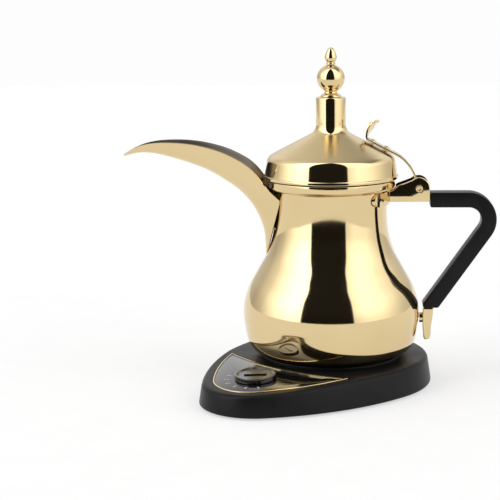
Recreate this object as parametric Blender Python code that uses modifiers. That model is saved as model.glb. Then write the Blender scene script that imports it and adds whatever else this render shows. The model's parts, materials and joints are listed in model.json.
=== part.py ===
"""Electric dallah: a gold beak-spouted coffee pot on a black heating base.

All sizes below are in millimetres; MM turns them into Blender's metres. +Z is up, +X runs from the
spout to the handle, and the origin is under the middle of the whole object on the table. The pot is
built around the empty "pot_axis", the base around "base_frame", whose +X points at the base's nose.
"""

import math

import bmesh
import bpy
from mathutils import Matrix, Vector

MM = 0.001
GAP = 0.3                     # clearance between pieces that touch

# Overall reach, which puts the origin in the middle of the object's box
SPOUT_REACH = 143.0           # pot axis to the spout's tip
GRIP_REACH = 112.9            # pot axis to the outside of the grip's bend
BASE_BACK_R = 70.0            # round back of the base, about the pot axis
BASE_NOSE_R = 38.0            # round nose of the base
BASE_NOSE_S = 80.0            # pot axis to the nose's centre
BASE_SIDE_R = 170.0           # gently curved sides, tangent to both round ends
NOSE_ANGLE = math.radians(232.0)

# Base
BASE_LIFT = 1.2               # table to the housing's lower edge
SEAT_Z = 20.0                 # top of the base under the pot
NOSE_TOP_Z = 15.2             # top of the base at the tip of the nose
SLOPE_START_S = 42.0          # where the top starts to fall toward the nose
WALL_DRAFT = 2.6              # how far the walls lean in from bottom to top
SHELL = 2.2                   # thickness of the plastic housing
FOOT_R = 7.0
POST_R = 14.8
WELL_R = 9.0
PANEL_MARGIN = 9.6            # housing edge to the gold frame
TRIM_WIDTH = 1.3
PANEL_DEPTH = 1.4
PANEL_ARC_R = 167.0           # inner edge of the panel, bulging toward the nose
PANEL_ARC_S = 55.0
KNOB_R = 14.0
KNOB_HEIGHT = 4.0
SHAFT_R = 3.0

# Pot, whose heights are counted from its own table level, POT_LIFT above the real one
POT_LIFT = 1.5                # the pot stands this much above the base's top, on the round seat
SEAT_R = 49.0
SEAT_HEIGHT = 1.5
FLOOR_Z = 32.3                # underside of the pot's floor
SHEET = 1.0                   # thickness of the pot's metal
RIM_TOP_Z = 141.4
POT_STEPS = 32

# Lid and hinge
LID_EDGE_Z = 142.1
COLUMN_R = 10.2
COLUMN_TOP_Z = 197.0
PIN_X = 60.0
PIN_Z = 135.2
PIN_R = 1.9
EAR_OUT_Y = 8.5               # outer faces of the bracket's two ears
EAR_IN_Y = 6.2                # inner faces
STRAP_HALF = 5.8
STRAP_T = 1.5
BRACKET_END_X = 67.4
BRACKET_LOW_Z = 126.1
BRACKET_WALL = 2.9            # end wall, which the grip is screwed to
GRIP_SCREW_Z = 129.6
SCREW_HOLE_R = 1.8            # clearance and thread holes of the small screws and studs

# Grip
GRIP_T = 10.3
GRIP_WIDTH = 14.0
GRIP_START_X = 67.7
GRIP_TOP_Z = 126.9            # centreline of the level top bar
GRIP_BEND_R = 13.8
GRIP_SLANT = math.radians(55.0)
GRIP_END_Z = 51.6
GRIP_HEEL_X = 63.2            # nearest that the grip's lower end comes to the pot's belly


# ---------------------------------------------------------------- scene, materials, small helpers

for old in list(bpy.data.objects):
    bpy.data.objects.remove(old, do_unlink=True)

PARTS = bpy.data.collections.new("dallah_coffee_pot")
CUTTERS = bpy.data.collections.new("cutters")
bpy.context.scene.collection.children.link(PARTS)
bpy.context.scene.collection.children.link(CUTTERS)


def finish(color, roughness, metallic):
    return {"color": color, "roughness": roughness, "metallic": metallic}


GOLD = finish((0.80, 0.62, 0.33), 0.10, 1.0)
STEEL = finish((0.62, 0.61, 0.59), 0.35, 1.0)
ALUMINIUM = finish((0.75, 0.75, 0.76), 0.45, 1.0)
BRASS = finish((0.72, 0.55, 0.25), 0.30, 1.0)
GRIP_BLACK = finish((0.018, 0.018, 0.019), 0.38, 0.0)
HOUSING_BLACK = finish((0.022, 0.021, 0.021), 0.42, 0.0)
PANEL_BLACK = finish((0.010, 0.010, 0.010), 0.06, 0.0)
INNER_PLASTIC = finish((0.06, 0.06, 0.065), 0.55, 0.0)
RUBBER = finish((0.03, 0.03, 0.03), 0.80, 0.0)
SILICONE = finish((0.55, 0.52, 0.48), 0.60, 0.0)
BOARD_GREEN = finish((0.02, 0.16, 0.07), 0.50, 0.0)


def give_material(obj, look):
    made = bpy.data.materials.new(obj.name)
    made.use_nodes = True
    shader = made.node_tree.nodes["Principled BSDF"]
    shader.inputs["Base Color"].default_value = (*look["color"], 1.0)
    shader.inputs["Roughness"].default_value = look["roughness"]
    shader.inputs["Metallic"].default_value = look["metallic"]
    obj.data.materials.append(made)


def frame_empty(name, location, rotation=(0.0, 0.0, 0.0), parent=None):
    empty = bpy.data.objects.new(name, None)
    empty.location = [value * MM for value in location]
    empty.rotation_euler = rotation
    empty.parent = parent
    PARTS.objects.link(empty)
    return empty


def place(name, mesh, look, parent):
    """Make a part from a mesh, or a hidden cutter when it has no look."""
    obj = bpy.data.objects.new(name, mesh)
    obj.parent = parent
    if look is None:
        CUTTERS.objects.link(obj)
        obj.hide_render = True
        obj.display_type = "WIRE"
    else:
        PARTS.objects.link(obj)
        give_material(obj, look)
    return obj


def place_bmesh(name, shape, look, parent):
    mesh = bpy.data.meshes.new(name)
    shape.to_mesh(mesh)
    shape.free()
    return place(name, mesh, look, parent)


def boolean(obj, other, operation):
    modifier = obj.modifiers.new(other.name, "BOOLEAN")
    modifier.operation = operation
    modifier.object = other
    return modifier


def cut(obj, *cutters):
    for cutter in cutters:
        boolean(obj, cutter, "DIFFERENCE")


def bevel(obj, width, segments=2, angle=math.radians(40.0)):
    modifier = obj.modifiers.new("rounded_edges", "BEVEL")
    modifier.width = width * MM
    modifier.segments = segments
    modifier.limit_method = "ANGLE"
    modifier.angle_limit = angle


def solidify(obj, thickness):
    modifier = obj.modifiers.new("sheet", "SOLIDIFY")
    modifier.thickness = thickness * MM
    modifier.offset = -1.0
    modifier.use_even_offset = True


# ---------------------------------------------------------------- shapes

def turned(name, profile, look, parent, steps=POT_STEPS, closed=False, centre=(0.0, 0.0)):
    """Turn a profile of (radius, height) about a vertical axis. It runs down the outer side."""
    mesh = bpy.data.meshes.new(name)
    verts = [(radius * MM, 0.0, height * MM) for radius, height in profile]
    edges = [(i, i + 1) for i in range(len(verts) - 1)]
    if closed:
        edges.append((len(verts) - 1, 0))
    mesh.from_pydata(verts, edges, [])
    obj = place(name, mesh, look, parent)
    obj.location = (centre[0] * MM, centre[1] * MM, 0.0)
    screw = obj.modifiers.new("turned", "SCREW")
    screw.axis = "Z"
    screw.angle = math.tau
    screw.steps = steps
    screw.render_steps = steps
    screw.use_merge_vertices = True
    screw.merge_threshold = 0.00001
    return obj


def rod(name, radius, low, high, look, parent, centre=(0.0, 0.0), segments=24):
    """An upright cylinder from low to high."""
    shape = bmesh.new()
    bmesh.ops.create_cone(shape, cap_ends=True, segments=segments, radius1=radius * MM,
                          radius2=radius * MM, depth=(high - low) * MM)
    obj = place_bmesh(name, shape, look, parent)
    obj.location = (centre[0] * MM, centre[1] * MM, (low + high) / 2 * MM)
    return obj


def rod_between(name, radius, start, end, look, parent, segments=16):
    """A cylinder between two points."""
    start = Vector(start)
    end = Vector(end)
    obj = rod(name, radius, 0.0, (end - start).length, look, parent, segments=segments)
    obj.location = (start + end) / 2 * MM
    obj.rotation_mode = "QUATERNION"
    obj.rotation_quaternion = (end - start).to_track_quat("Z", "Y")
    return obj


def box(name, low, high, look, parent):
    shape = bmesh.new()
    size = [(high[i] - low[i]) * MM for i in range(3)]
    bmesh.ops.create_cube(shape, size=1.0, matrix=Matrix.Diagonal((*size, 1.0)))
    obj = place_bmesh(name, shape, look, parent)
    obj.location = [(high[i] + low[i]) / 2 * MM for i in range(3)]
    return obj


def slab(name, outlines, half_depth, look, parent):
    """A flat plate from one outline, or from an outline and its hole, drawn in its own XY plane."""
    curve = bpy.data.curves.new(name, "CURVE")
    curve.dimensions = "2D"
    curve.fill_mode = "BOTH"
    curve.extrude = half_depth * MM
    for outline in outlines:
        spline = curve.splines.new("POLY")
        spline.points.add(len(outline) - 1)
        for point, (x, y) in zip(spline.points, outline):
            point.co = (x * MM, y * MM, 0.0, 1.0)
        spline.use_cyclic_u = True
    sketch = bpy.data.objects.new(name + "_sketch", curve)
    bpy.context.scene.collection.objects.link(sketch)
    evaluated = sketch.evaluated_get(bpy.context.evaluated_depsgraph_get())
    mesh = bpy.data.meshes.new_from_object(evaluated)
    bpy.data.objects.remove(sketch)
    shape = bmesh.new()
    shape.from_mesh(mesh)
    bmesh.ops.remove_doubles(shape, verts=shape.verts, dist=0.000001)
    bmesh.ops.recalc_face_normals(shape, faces=shape.faces)
    if len(outlines) == 1:
        # the fill's triangles become one flat face at each end
        inner_edges = [edge for edge in shape.edges
                       if all(abs(face.normal.z) > 0.999 for face in edge.link_faces)]
        bmesh.ops.dissolve_edges(shape, edges=inner_edges)
    return place_bmesh(name, shape, look, parent)


def side_slab(name, outline, half_width, look, parent, y=0.0):
    """A plate whose outline is drawn in the pot's X-Z plane, half_width to each side of y."""
    obj = slab(name, [outline], half_width, look, parent)
    obj.rotation_euler = (math.radians(90.0), 0.0, 0.0)
    obj.location = (0.0, y * MM, 0.0)
    return obj


def arc(centre, radius, start, end, count):
    """Points on an arc; angles in radians."""
    angles = [start + (end - start) * i / count for i in range(count + 1)]
    return [(centre[0] + radius * math.cos(a), centre[1] + radius * math.sin(a)) for a in angles]


def smooth(points, per_span):
    """A Catmull-Rom curve through the points."""
    ends = [points[0], *points, points[-1]]
    out = []
    for i in range(1, len(ends) - 2):
        p0, p1, p2, p3 = (Vector(ends[i + k]) for k in (-1, 0, 1, 2))
        for j in range(per_span):
            t = j / per_span
            out.append(tuple(0.5 * (2 * p1 + (p2 - p0) * t + (2 * p0 - 5 * p1 + 4 * p2 - p3) * t * t
                                    + (3 * p1 - p0 - 3 * p2 + p3) * t ** 3)))
    out.append(tuple(points[-1]))
    return out


def ribbon(path, thickness):
    """The outline of a strip of the given thickness along a flat path."""
    half = thickness / 2
    left = []
    right = []
    for i, point in enumerate(path):
        before = Vector(path[max(i - 1, 0)])
        after = Vector(path[min(i + 1, len(path) - 1)])
        along = (after - before).normalized()
        side = Vector((-along.y, along.x)) * half
        left.append(tuple(Vector(point) + side))
        right.append(tuple(Vector(point) - side))
    return left + right[::-1]


# ---------------------------------------------------------------- reference frames

POT_X = (SPOUT_REACH - GRIP_REACH) / 2
NOSE_LOW_Y = BASE_NOSE_S * math.sin(NOSE_ANGLE) - BASE_NOSE_R
POT_Y = -(BASE_BACK_R + NOSE_LOW_Y) / 2

pot_axis = frame_empty("pot_axis", (POT_X, POT_Y, POT_LIFT))
base_frame = frame_empty("base_frame", (POT_X, POT_Y, 0.0), (0.0, 0.0, NOSE_ANGLE))
hinge_axis = frame_empty("hinge_axis", (PIN_X, 0.0, PIN_Z), parent=pot_axis)
SLOPE = math.atan((SEAT_Z - NOSE_TOP_Z) / (BASE_NOSE_S + BASE_NOSE_R - SLOPE_START_S))
panel_plane = frame_empty("panel_plane", (SLOPE_START_S, 0.0, SEAT_Z), (0.0, SLOPE, 0.0), base_frame)
knob_axis = frame_empty("knob_axis", (BASE_NOSE_S - SLOPE_START_S, 0.0, 0.0), parent=panel_plane)


# ---------------------------------------------------------------- base

SIDE_S = (BASE_NOSE_S ** 2 + (BASE_SIDE_R - BASE_BACK_R) ** 2
          - (BASE_SIDE_R - BASE_NOSE_R) ** 2) / (2 * BASE_NOSE_S)
SIDE_W = math.sqrt((BASE_SIDE_R - BASE_BACK_R) ** 2 - SIDE_S ** 2)


def egg(inset, back_steps=16, side_steps=6, nose_steps=9):
    """The base's outline, moved inward by inset: back arc, side arc, nose arc, side arc."""
    back = math.atan2(SIDE_W, -SIDE_S)
    nose = math.atan2(SIDE_W, BASE_NOSE_S - SIDE_S)
    side = BASE_SIDE_R - inset
    points = arc((0, 0), BASE_BACK_R - inset, back, math.tau - back, back_steps)[:-1]
    points += arc((SIDE_S, SIDE_W), side, math.tau - back, math.tau - nose, side_steps)[:-1]
    points += arc((BASE_NOSE_S, 0), BASE_NOSE_R - inset, -nose, nose, nose_steps)[:-1]
    points += arc((SIDE_S, -SIDE_W), side, nose, back, side_steps)[:-1]
    return points


def egg_block(name, inset, inset_top, low, high, look):
    """A solid with the egg outline, its top ring drawn in to inset_top."""
    shape = bmesh.new()
    lower = [shape.verts.new((x * MM, y * MM, low * MM)) for x, y in egg(inset)]
    floor = shape.faces.new(lower)
    raised = bmesh.ops.extrude_face_region(shape, geom=[floor])["geom"]
    top_ring = [item for item in raised if isinstance(item, bmesh.types.BMVert)]
    low_points = egg(inset)
    high_points = egg(inset_top)
    for vert in top_ring:
        nearest = min(range(len(low_points)),
                      key=lambda i: (vert.co.x / MM - low_points[i][0]) ** 2
                      + (vert.co.y / MM - low_points[i][1]) ** 2)
        vert.co = (high_points[nearest][0] * MM, high_points[nearest][1] * MM, high * MM)
    bmesh.ops.recalc_face_normals(shape, faces=shape.faces)
    return place_bmesh(name, shape, look, base_frame)


def slope_cutter(name, below):
    """A block that takes off all that is above the sloping top, lowered by below."""
    length = BASE_NOSE_S + BASE_NOSE_R
    return box(name, (0.0, -BASE_BACK_R - 10, -below), (length, BASE_BACK_R + 10, 30.0 - below),
               None, panel_plane)


def panel_outline(inset):
    """The panel's edge: the egg outline beyond an arc that faces the pot."""
    arc_r = PANEL_ARC_R + inset
    centre_s = PANEL_ARC_S - PANEL_ARC_R
    egg_inset = PANEL_MARGIN + inset
    side_r = BASE_SIDE_R - egg_inset
    # the corner is where the inner arc meets the side arc
    away = Vector((SIDE_S - centre_s, -SIDE_W))
    along = (arc_r ** 2 - side_r ** 2 + away.length_squared) / (2 * away.length)
    across = math.sqrt(arc_r ** 2 - along ** 2)
    unit = away.normalized()
    corner = Vector((centre_s, 0)) + unit * along + Vector((-unit.y, unit.x)) * across
    corner_angle = math.atan2(corner.y, corner.x - centre_s)
    start = math.atan2(corner.y + SIDE_W, corner.x - SIDE_S)
    nose = math.atan2(SIDE_W, BASE_NOSE_S - SIDE_S)
    points = arc((centre_s, 0), arc_r, -corner_angle, corner_angle, 16)[:-1]
    points += arc((SIDE_S, -SIDE_W), side_r, start, nose, 6)[:-1]
    points += arc((BASE_NOSE_S, 0), BASE_NOSE_R - egg_inset, nose, -nose, 14)[:-1]
    points += arc((SIDE_S, SIDE_W), side_r, -nose, -start, 6)[:-1]
    return [(s - SLOPE_START_S, w) for s, w in points]


BOSSES = [(-46.0, -28.0), (-46.0, 28.0), (58.0, -33.0), (58.0, 33.0)]
FEET = [(-36.0, -42.0), (-36.0, 42.0), (84.0, -17.0), (84.0, 17.0)]
BOARD = ((54.0, -20.0), (102.0, 20.0))
BOARD_Z = 5.6


def make_base():
    housing = egg_block("base_housing", 0.0, WALL_DRAFT, BASE_LIFT, SEAT_Z, HOUSING_BLACK)
    cut(housing, slope_cutter("slope_cut", 0.0))
    bevel(housing, 2.8, 2, math.radians(50.0))
    seat = rod("seat", SEAT_R, SEAT_Z - SEAT_HEIGHT, SEAT_Z + SEAT_HEIGHT, None, base_frame, segments=48)
    boolean(housing, seat, "UNION")
    hollow = egg_block("hollow", SHELL, SHELL + WALL_DRAFT, BASE_LIFT - 4.0, SEAT_Z - SHELL, None)
    cut(hollow, slope_cutter("hollow_slope_cut", PANEL_DEPTH + 2.0))
    for number, boss in enumerate(BOSSES, 1):
        cut(hollow, rod(f"boss_{number}", 4.0, BASE_LIFT + 2.6, SEAT_Z + 5, None, base_frame, boss))
    cut(housing, hollow)
    for number, boss in enumerate(BOSSES, 1):
        cut(housing, rod(f"boss_hole_{number}", 1.8, 0.0, 12.0, None, base_frame, boss, 12))
    cut(housing, rod("post_hole", POST_R + GAP, SEAT_Z - 6, SEAT_Z + 6, None, base_frame, segments=32))
    recess = slab("panel_recess", [panel_outline(-GAP)], 2.0, None, panel_plane)
    recess.location.z = (2.0 - PANEL_DEPTH - GAP) * MM
    cut(housing, recess)
    cut(housing, rod("shaft_hole", SHAFT_R + 0.6, -9.0, 5.0, None, knob_axis))
    cut(housing, rod_between("gland_hole", 4.3, (-BASE_BACK_R - 4, 0, 8.5),
                             (-BASE_BACK_R + 8, 0, 8.5), None, base_frame))

    plate = egg_block("base_plate", SHELL + 0.9, SHELL + 0.9, BASE_LIFT + 0.2, BASE_LIFT + 2.2,
                      INNER_PLASTIC)
    for number, (boss, foot) in enumerate(zip(BOSSES, FEET), 1):
        cut(plate, rod(f"plate_hole_{number}", 1.8, -1.0, 6.0, None, base_frame, boss, 12))
        cut(plate, rod(f"foot_pocket_{number}", FOOT_R + GAP, -1.0, 2.3, None, base_frame, foot))
        profile = [(0.0, 2.0), (FOOT_R, 2.0), (FOOT_R, 0.5), (FOOT_R - 0.6, 0.0), (0.0, 0.0)]
        turned(f"base_foot_{number}", profile, RUBBER, base_frame, 16, centre=foot)
        screw = [(0.0, 11.0), (1.4, 11.0), (1.4, 1.1), (2.7, 1.1), (2.7, 0.5), (0.0, 0.5)]
        turned(f"base_screw_{number}", screw, STEEL, base_frame, 12, centre=boss)


def make_power_post():
    well_floor = SEAT_Z - 3.0
    under = SEAT_Z - SHELL - GAP
    high = SEAT_Z + POT_LIFT + 6.2
    post = [(0.0, well_floor), (WELL_R, well_floor), (WELL_R, high - 0.6), (WELL_R + 0.8, high),
            (POST_R - 0.8, high), (POST_R, high - 0.8), (POST_R, under), (POST_R + 5, under),
            (POST_R + 5, under - 3.5), (0.0, under - 3.5)]
    turned("power_post", post, INNER_PLASTIC, base_frame, 24)
    top = high - 1.0
    pin = [(0.0, top), (1.6, top - 0.2), (2.2, top - 1.0), (2.2, well_floor + GAP), (0.0, well_floor + GAP)]
    turned("post_centre_pin", pin, BRASS, base_frame, 12)
    ring = [(8.6, top), (8.6, well_floor + GAP), (7.4, well_floor + GAP), (7.4, top)]
    turned("post_ring_contact", ring, BRASS, base_frame, 16, closed=True)


def make_controls():
    panel = slab("control_panel", [panel_outline(TRIM_WIDTH)], PANEL_DEPTH / 2, PANEL_BLACK, panel_plane)
    panel.location.z = (0.15 - PANEL_DEPTH / 2) * MM
    cut(panel, rod("panel_hole", SHAFT_R + 0.6, -4.0, 4.0, None, knob_axis))
    trim = slab("panel_trim", [panel_outline(0.0), panel_outline(TRIM_WIDTH - GAP)], PANEL_DEPTH / 2,
                GOLD, panel_plane)
    trim.location.z = (0.35 - PANEL_DEPTH / 2) * MM
    rim = 1.6
    knob = [(0.0, KNOB_HEIGHT - 0.9), (KNOB_R - rim - 0.8, KNOB_HEIGHT - 0.9), (KNOB_R - rim, KNOB_HEIGHT),
            (KNOB_R - 0.5, KNOB_HEIGHT), (KNOB_R, KNOB_HEIGHT - 0.6), (KNOB_R, 0.5), (SHAFT_R - 1.0, 0.5),
            (SHAFT_R - 1.0, 2.4), (0.0, 2.4)]
    turned("selector_knob", knob, PANEL_BLACK, knob_axis, 24)
    shaft = [(0.0, 2.1), (SHAFT_R - 1.3, 2.1), (SHAFT_R - 1.3, 0.2), (SHAFT_R, 0.2), (SHAFT_R, -6.2),
             (0.0, -6.2)]
    turned("knob_shaft", shaft, BRASS, knob_axis, 16)
    box("selector_switch", (-7.0, -7.0, -10.4), (7.0, 7.0, -6.5), INNER_PLASTIC, knob_axis)
    board = box("control_board", (*BOARD[0], BOARD_Z - 1.6), (*BOARD[1], BOARD_Z), BOARD_GREEN, base_frame)
    cut(board, slope_cutter("board_slope_cut", 11.0))
    for number, w in enumerate((-16.0, 16.0), 1):
        cut(board, rod(f"board_hole_{number}", 1.6, 0.0, 12.0, None, base_frame, (58.0, w), 12))
        screw = [(0.0, 6.9), (2.4, 6.9), (2.4, 5.9), (1.25, 5.9), (1.25, 3.8), (0.0, 3.8)]
        turned(f"board_screw_{number}", screw, STEEL, base_frame, 12, centre=(58.0, w))


def make_cord_gland():
    """A rubber bush in the rear wall, with the hole that a mains cord would pass through."""
    gland = [(4.0, 8.5), (3.9, 0.4), (5.6, 0.4), (5.6, -1.0), (3.9, -1.0), (3.9, -4.6), (2.4, -4.6),
             (2.4, 8.5)]
    # turned about the cord's line, then laid down with its nose to the rear
    obj = turned("cord_gland", gland, RUBBER, base_frame, 20, closed=True)
    obj.rotation_euler = (0.0, math.radians(-90.0), 0.0)
    obj.location = ((-BASE_BACK_R - 0.9) * MM, 0.0, 8.5 * MM)


# ---------------------------------------------------------------- pot body

BODY_CURVE = [(38.6, 130.5), (38.3, 123.0), (38.8, 111.5), (40.3, 101.6), (44.1, 90.0), (50.7, 78.0),
              (56.7, 67.0), (60.3, 56.0), (61.0, 47.0), (60.4, 41.0), (58.8, 31.0), (56.0, 25.0),
              (52.0, 21.8), (46.5, 20.4)]
RIM_CURVE = [(42.6, RIM_TOP_Z), (43.5, 141.2), (43.9, 140.4), (43.9, 136.4), (43.0, 135.3), (40.9, 134.8),
             (39.4, 134.3), (38.8, 133.2)]


def body_radius(height):
    """Outer radius of the pot at a height, read along its curve."""
    for (r_high, high), (r_low, low) in zip(BODY_CURVE, BODY_CURVE[1:]):
        if low <= height <= high:
            return r_low + (r_high - r_low) * (height - low) / (high - low)
    return BODY_CURVE[0][0]


STRAINER_ROWS = [(100.0, (-5.0, 5.0)), (107.0, (-9.0, 0.0, 9.0)), (114.0, (-5.0, 5.0)),
                 (121.0, (-9.0, 0.0, 9.0))]


def make_pot_body():
    body = turned("pot_body", RIM_CURVE + BODY_CURVE, GOLD, pot_axis)
    solidify(body, SHEET)
    number = 0
    for height, offsets in STRAINER_ROWS:
        for y in offsets:
            number += 1
            cut(body, rod_between(f"strainer_hole_{number}", 1.9, (-50.0, y, height), (-28.0, y, height),
                                  None, pot_axis, 8))
    floor = [(0.0, FLOOR_Z + 1.0), (57.4, FLOOR_Z + 1.0), (57.4, FLOOR_Z), (0.0, FLOOR_Z)]
    turned("pot_floor", floor, STEEL, pot_axis)


# ---------------------------------------------------------------- spout

# Along the spout from the pot to the tip: middle of the two top edges (x, z), keel (x, z), half width
SPOUT_SECTIONS = [
    ((-34.2, 127.5), (-45.0, 88.0), 17.2),
    ((-43.6, 136.9), (-46.2, 105.0), 18.0),
    ((-51.5, 146.9), (-52.0, 120.0), 18.0),
    ((-59.3, 153.6), (-61.1, 131.7), 17.6),
    ((-71.3, 159.8), (-72.9, 140.5), 16.6),
    ((-83.0, 163.6), (-84.7, 147.3), 15.2),
    ((-94.7, 165.9), (-96.5, 152.0), 13.8),
    ((-107.0, 166.8), (-108.5, 155.8), 12.0),
    ((-120.0, 166.4), (-121.7, 158.9), 9.2),
    ((-131.0, 164.0), (-132.4, 159.4), 6.0),
    ((-142.3, 158.4), (-143.0, 157.2), 1.2),
]
SPOUT_T = 0.9
SPOUT_ACROSS = 4              # steps from the keel to one top edge
SPOUT_ALONG = 2               # rings for each span between sections
KEEL_SHAPE = 1.7              # 1 would be a plain V, 2 a round channel


def spout_point(top, keel, half, side, inner):
    """A point of one section; side runs from -1 at one top edge to 1 at the other."""
    rise = Vector((top[0] - keel[0], top[1] - keel[1]))
    low = Vector(keel)
    if inner:
        low += rise.normalized() * min(1.3 * SPOUT_T, 0.45 * rise.length)
        half -= min(SPOUT_T, 0.5 * half)
    share = abs(side) ** KEEL_SHAPE
    spot = low + (Vector(top) - low) * share
    return spot.x, half * side, spot.y


def make_spout():
    rows = [(*top, *keel, half) for top, keel, half in SPOUT_SECTIONS]
    tops = smooth([(row[0], row[1], 0.0) for row in rows], SPOUT_ALONG)
    keels = smooth([(row[2], row[3], 0.0) for row in rows], SPOUT_ALONG)
    halves = smooth([(row[4], 0.0, 0.0) for row in rows], SPOUT_ALONG)
    sides = [i / SPOUT_ACROSS for i in range(-SPOUT_ACROSS, SPOUT_ACROSS + 1)]
    shape = bmesh.new()
    skins = []
    for inner in (False, True):
        rings = []
        for number, (top, keel, half) in enumerate(zip(tops, keels, halves)):
            ring = []
            for side in sides:
                x, y, z = spout_point(top[:2], keel[:2], half[0], side, inner)
                if number == 0:
                    x = -math.sqrt((body_radius(z) + GAP) ** 2 - y * y)
                ring.append(shape.verts.new((x * MM, y * MM, z * MM)))
            rings.append(ring)
        skins.append(rings)
    outer, inner = skins
    last = len(sides) - 1
    for i in range(len(tops) - 1):
        for j in range(last):
            shape.faces.new((outer[i][j], outer[i][j + 1], outer[i + 1][j + 1], outer[i + 1][j]))
            shape.faces.new((inner[i][j], inner[i + 1][j], inner[i + 1][j + 1], inner[i][j + 1]))
        for j in (0, last):
            shape.faces.new((outer[i][j], outer[i + 1][j], inner[i + 1][j], inner[i][j]))
    for i in (0, len(tops) - 1):
        for j in range(last):
            shape.faces.new((outer[i][j], outer[i][j + 1], inner[i][j + 1], inner[i][j]))
    bmesh.ops.recalc_face_normals(shape, faces=shape.faces)
    place_bmesh("spout", shape, GOLD, pot_axis)


# ---------------------------------------------------------------- heater and underside of the pot

COVER_Z = 21.7
COVER_SCREW_R = 40.5


def make_heater():
    plate = turned("heater_plate", [(0.0, FLOOR_Z - GAP), (44.0, FLOOR_Z - GAP), (44.0, 29.0), (0.0, 29.0)],
                   ALUMINIUM, pot_axis)
    turned("heating_element", arc((34.0, 26.0), 2.4, math.pi, -math.pi, 8)[:-1], STEEL, pot_axis, 20,
           closed=True)
    rod("thermal_cutout", 3.8, 25.0, 28.6, INNER_PLASTIC, pot_axis, (0.0, 26.8), 16)
    socket = [(0.0, 28.6), (22.0, 28.6), (22.0, COVER_Z + 2.1), (18.0, COVER_Z + 2.1), (18.0, SEAT_Z + 0.7),
              (15.8, SEAT_Z + 0.7), (15.8, 27.2), (6.4, 27.2), (6.4, 18.6), (3.0, 18.6), (3.0, 26.4),
              (0.0, 26.4)]
    turned("pot_connector", socket, INNER_PLASTIC, pot_axis, 24)
    ring = [(45.6, COVER_Z + 1.6), (45.6, COVER_Z), (18.4, COVER_Z), (18.4, COVER_Z + 1.6)]
    cover = turned("bottom_cover", ring, HOUSING_BLACK, pot_axis, closed=True)
    for number in range(1, 4):
        angle = math.tau * (number - 1) / 3 + math.radians(90.0)
        spot = (COVER_SCREW_R * math.cos(angle), COVER_SCREW_R * math.sin(angle))
        cut(cover, rod(f"cover_hole_{number}", 1.8, 18.0, 26.0, None, pot_axis, spot, 12))
        cut(plate, rod(f"plate_thread_{number}", 1.8, 25.0, 31.2, None, pot_axis, spot, 12))
        screw = [(0.0, 30.8), (1.4, 30.8), (1.4, COVER_Z - GAP), (2.8, COVER_Z - GAP), (2.8, 20.6),
                 (0.0, 20.6)]
        turned(f"cover_screw_{number}", screw, STEEL, pot_axis, 12, centre=spot)


# ---------------------------------------------------------------- lid

DOME = [(COLUMN_R, 178.0), (10.9, 174.9), (14.3, 171.7), (25.0, 165.9), (36.0, 160.5), (41.8, 157.0),
        (44.4, 152.8)]


def make_lid():
    profile = [(2.3, COLUMN_TOP_Z), (COLUMN_R - 1.8, COLUMN_TOP_Z), (COLUMN_R, COLUMN_TOP_Z - 1.4)]
    profile += DOME + [(46.0, LID_EDGE_Z)]
    lid = turned("lid_shell", profile, GOLD, hinge_lid, POT_STEPS)
    solidify(lid, SHEET)
    liner = [(0.0, 140.6), (41.0, 140.6), (41.0, 142.6), (43.1, 142.6), (43.0, 143.6), (40.2, 143.6),
             (40.2, 141.8), (0.0, 141.8)]
    turned("lid_liner", liner[::-1], STEEL, hinge_lid, POT_STEPS)
    gasket = [(40.6, 140.2), (40.9, 139.2), (40.4, 138.0), (38.9, 138.0), (38.9, 140.2)]
    turned("lid_gasket", gasket, SILICONE, hinge_lid, POT_STEPS, closed=True)
    return lid


def make_finial():
    ball_z = 209.5
    ball_r = 9.5
    ball_top_z = 218.7
    top_angle = math.asin((ball_top_z - ball_z) / ball_r)
    ball = arc((0.0, ball_z), ball_r, top_angle, math.radians(-62.0), 7)
    foot = [(4.6, 200.6), (5.0, 199.3), (6.8, 198.0), (7.0, COLUMN_TOP_Z + GAP), (0.0, COLUMN_TOP_Z + GAP)]
    finial = turned("finial_ball", [(0.0, ball_top_z)] + ball + foot, GOLD, hinge_lid, 20)
    cut(finial, rod("stud_hole", 2.3, 190.0, 208.5, None, hinge_lid, segments=12))
    tip = [(0.0, 230.3), (1.7, 229.5), (3.5, 227.4), (4.6, 224.8), (4.6, 223.2), (3.8, 221.6), (3.0, 220.5),
           (2.9, 219.9), (3.5, 219.5), (3.3, ball_top_z + GAP), (0.0, ball_top_z + GAP)]
    turned("finial_tip", tip, GOLD, hinge_lid, 16)
    rod("finial_stud", 2.0, 186.5, 208.0, STEEL, hinge_lid, segments=12)
    nut_top_z = COLUMN_TOP_Z - SHEET - GAP
    nut = rod("finial_nut", 4.2, nut_top_z - 3.0, nut_top_z, STEEL, hinge_lid, segments=6)
    cut(nut, rod("nut_hole", 2.3, 180.0, 205.0, None, hinge_lid, segments=12))


STRAP_FLAT = [(24.6, 168.1), (40.6, 159.9)]
STRAP_CURVE = [STRAP_FLAT[1], (45.6, 157.3), (49.8, 154.2), (54.2, 149.0), (57.0, 143.6), (58.9, 137.5)]
LEVER_CURVE = [(31.9, 179.6), (30.3, 180.3), (28.7, 178.9), (24.9, 171.2), STRAP_FLAT[0]]
RIVET_SHARES = (0.24, 0.82)


def rivet_place(share):
    start = Vector(STRAP_FLAT[0])
    end = Vector(STRAP_FLAT[1])
    return start + (end - start) * share, (end - start).normalized()


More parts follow.
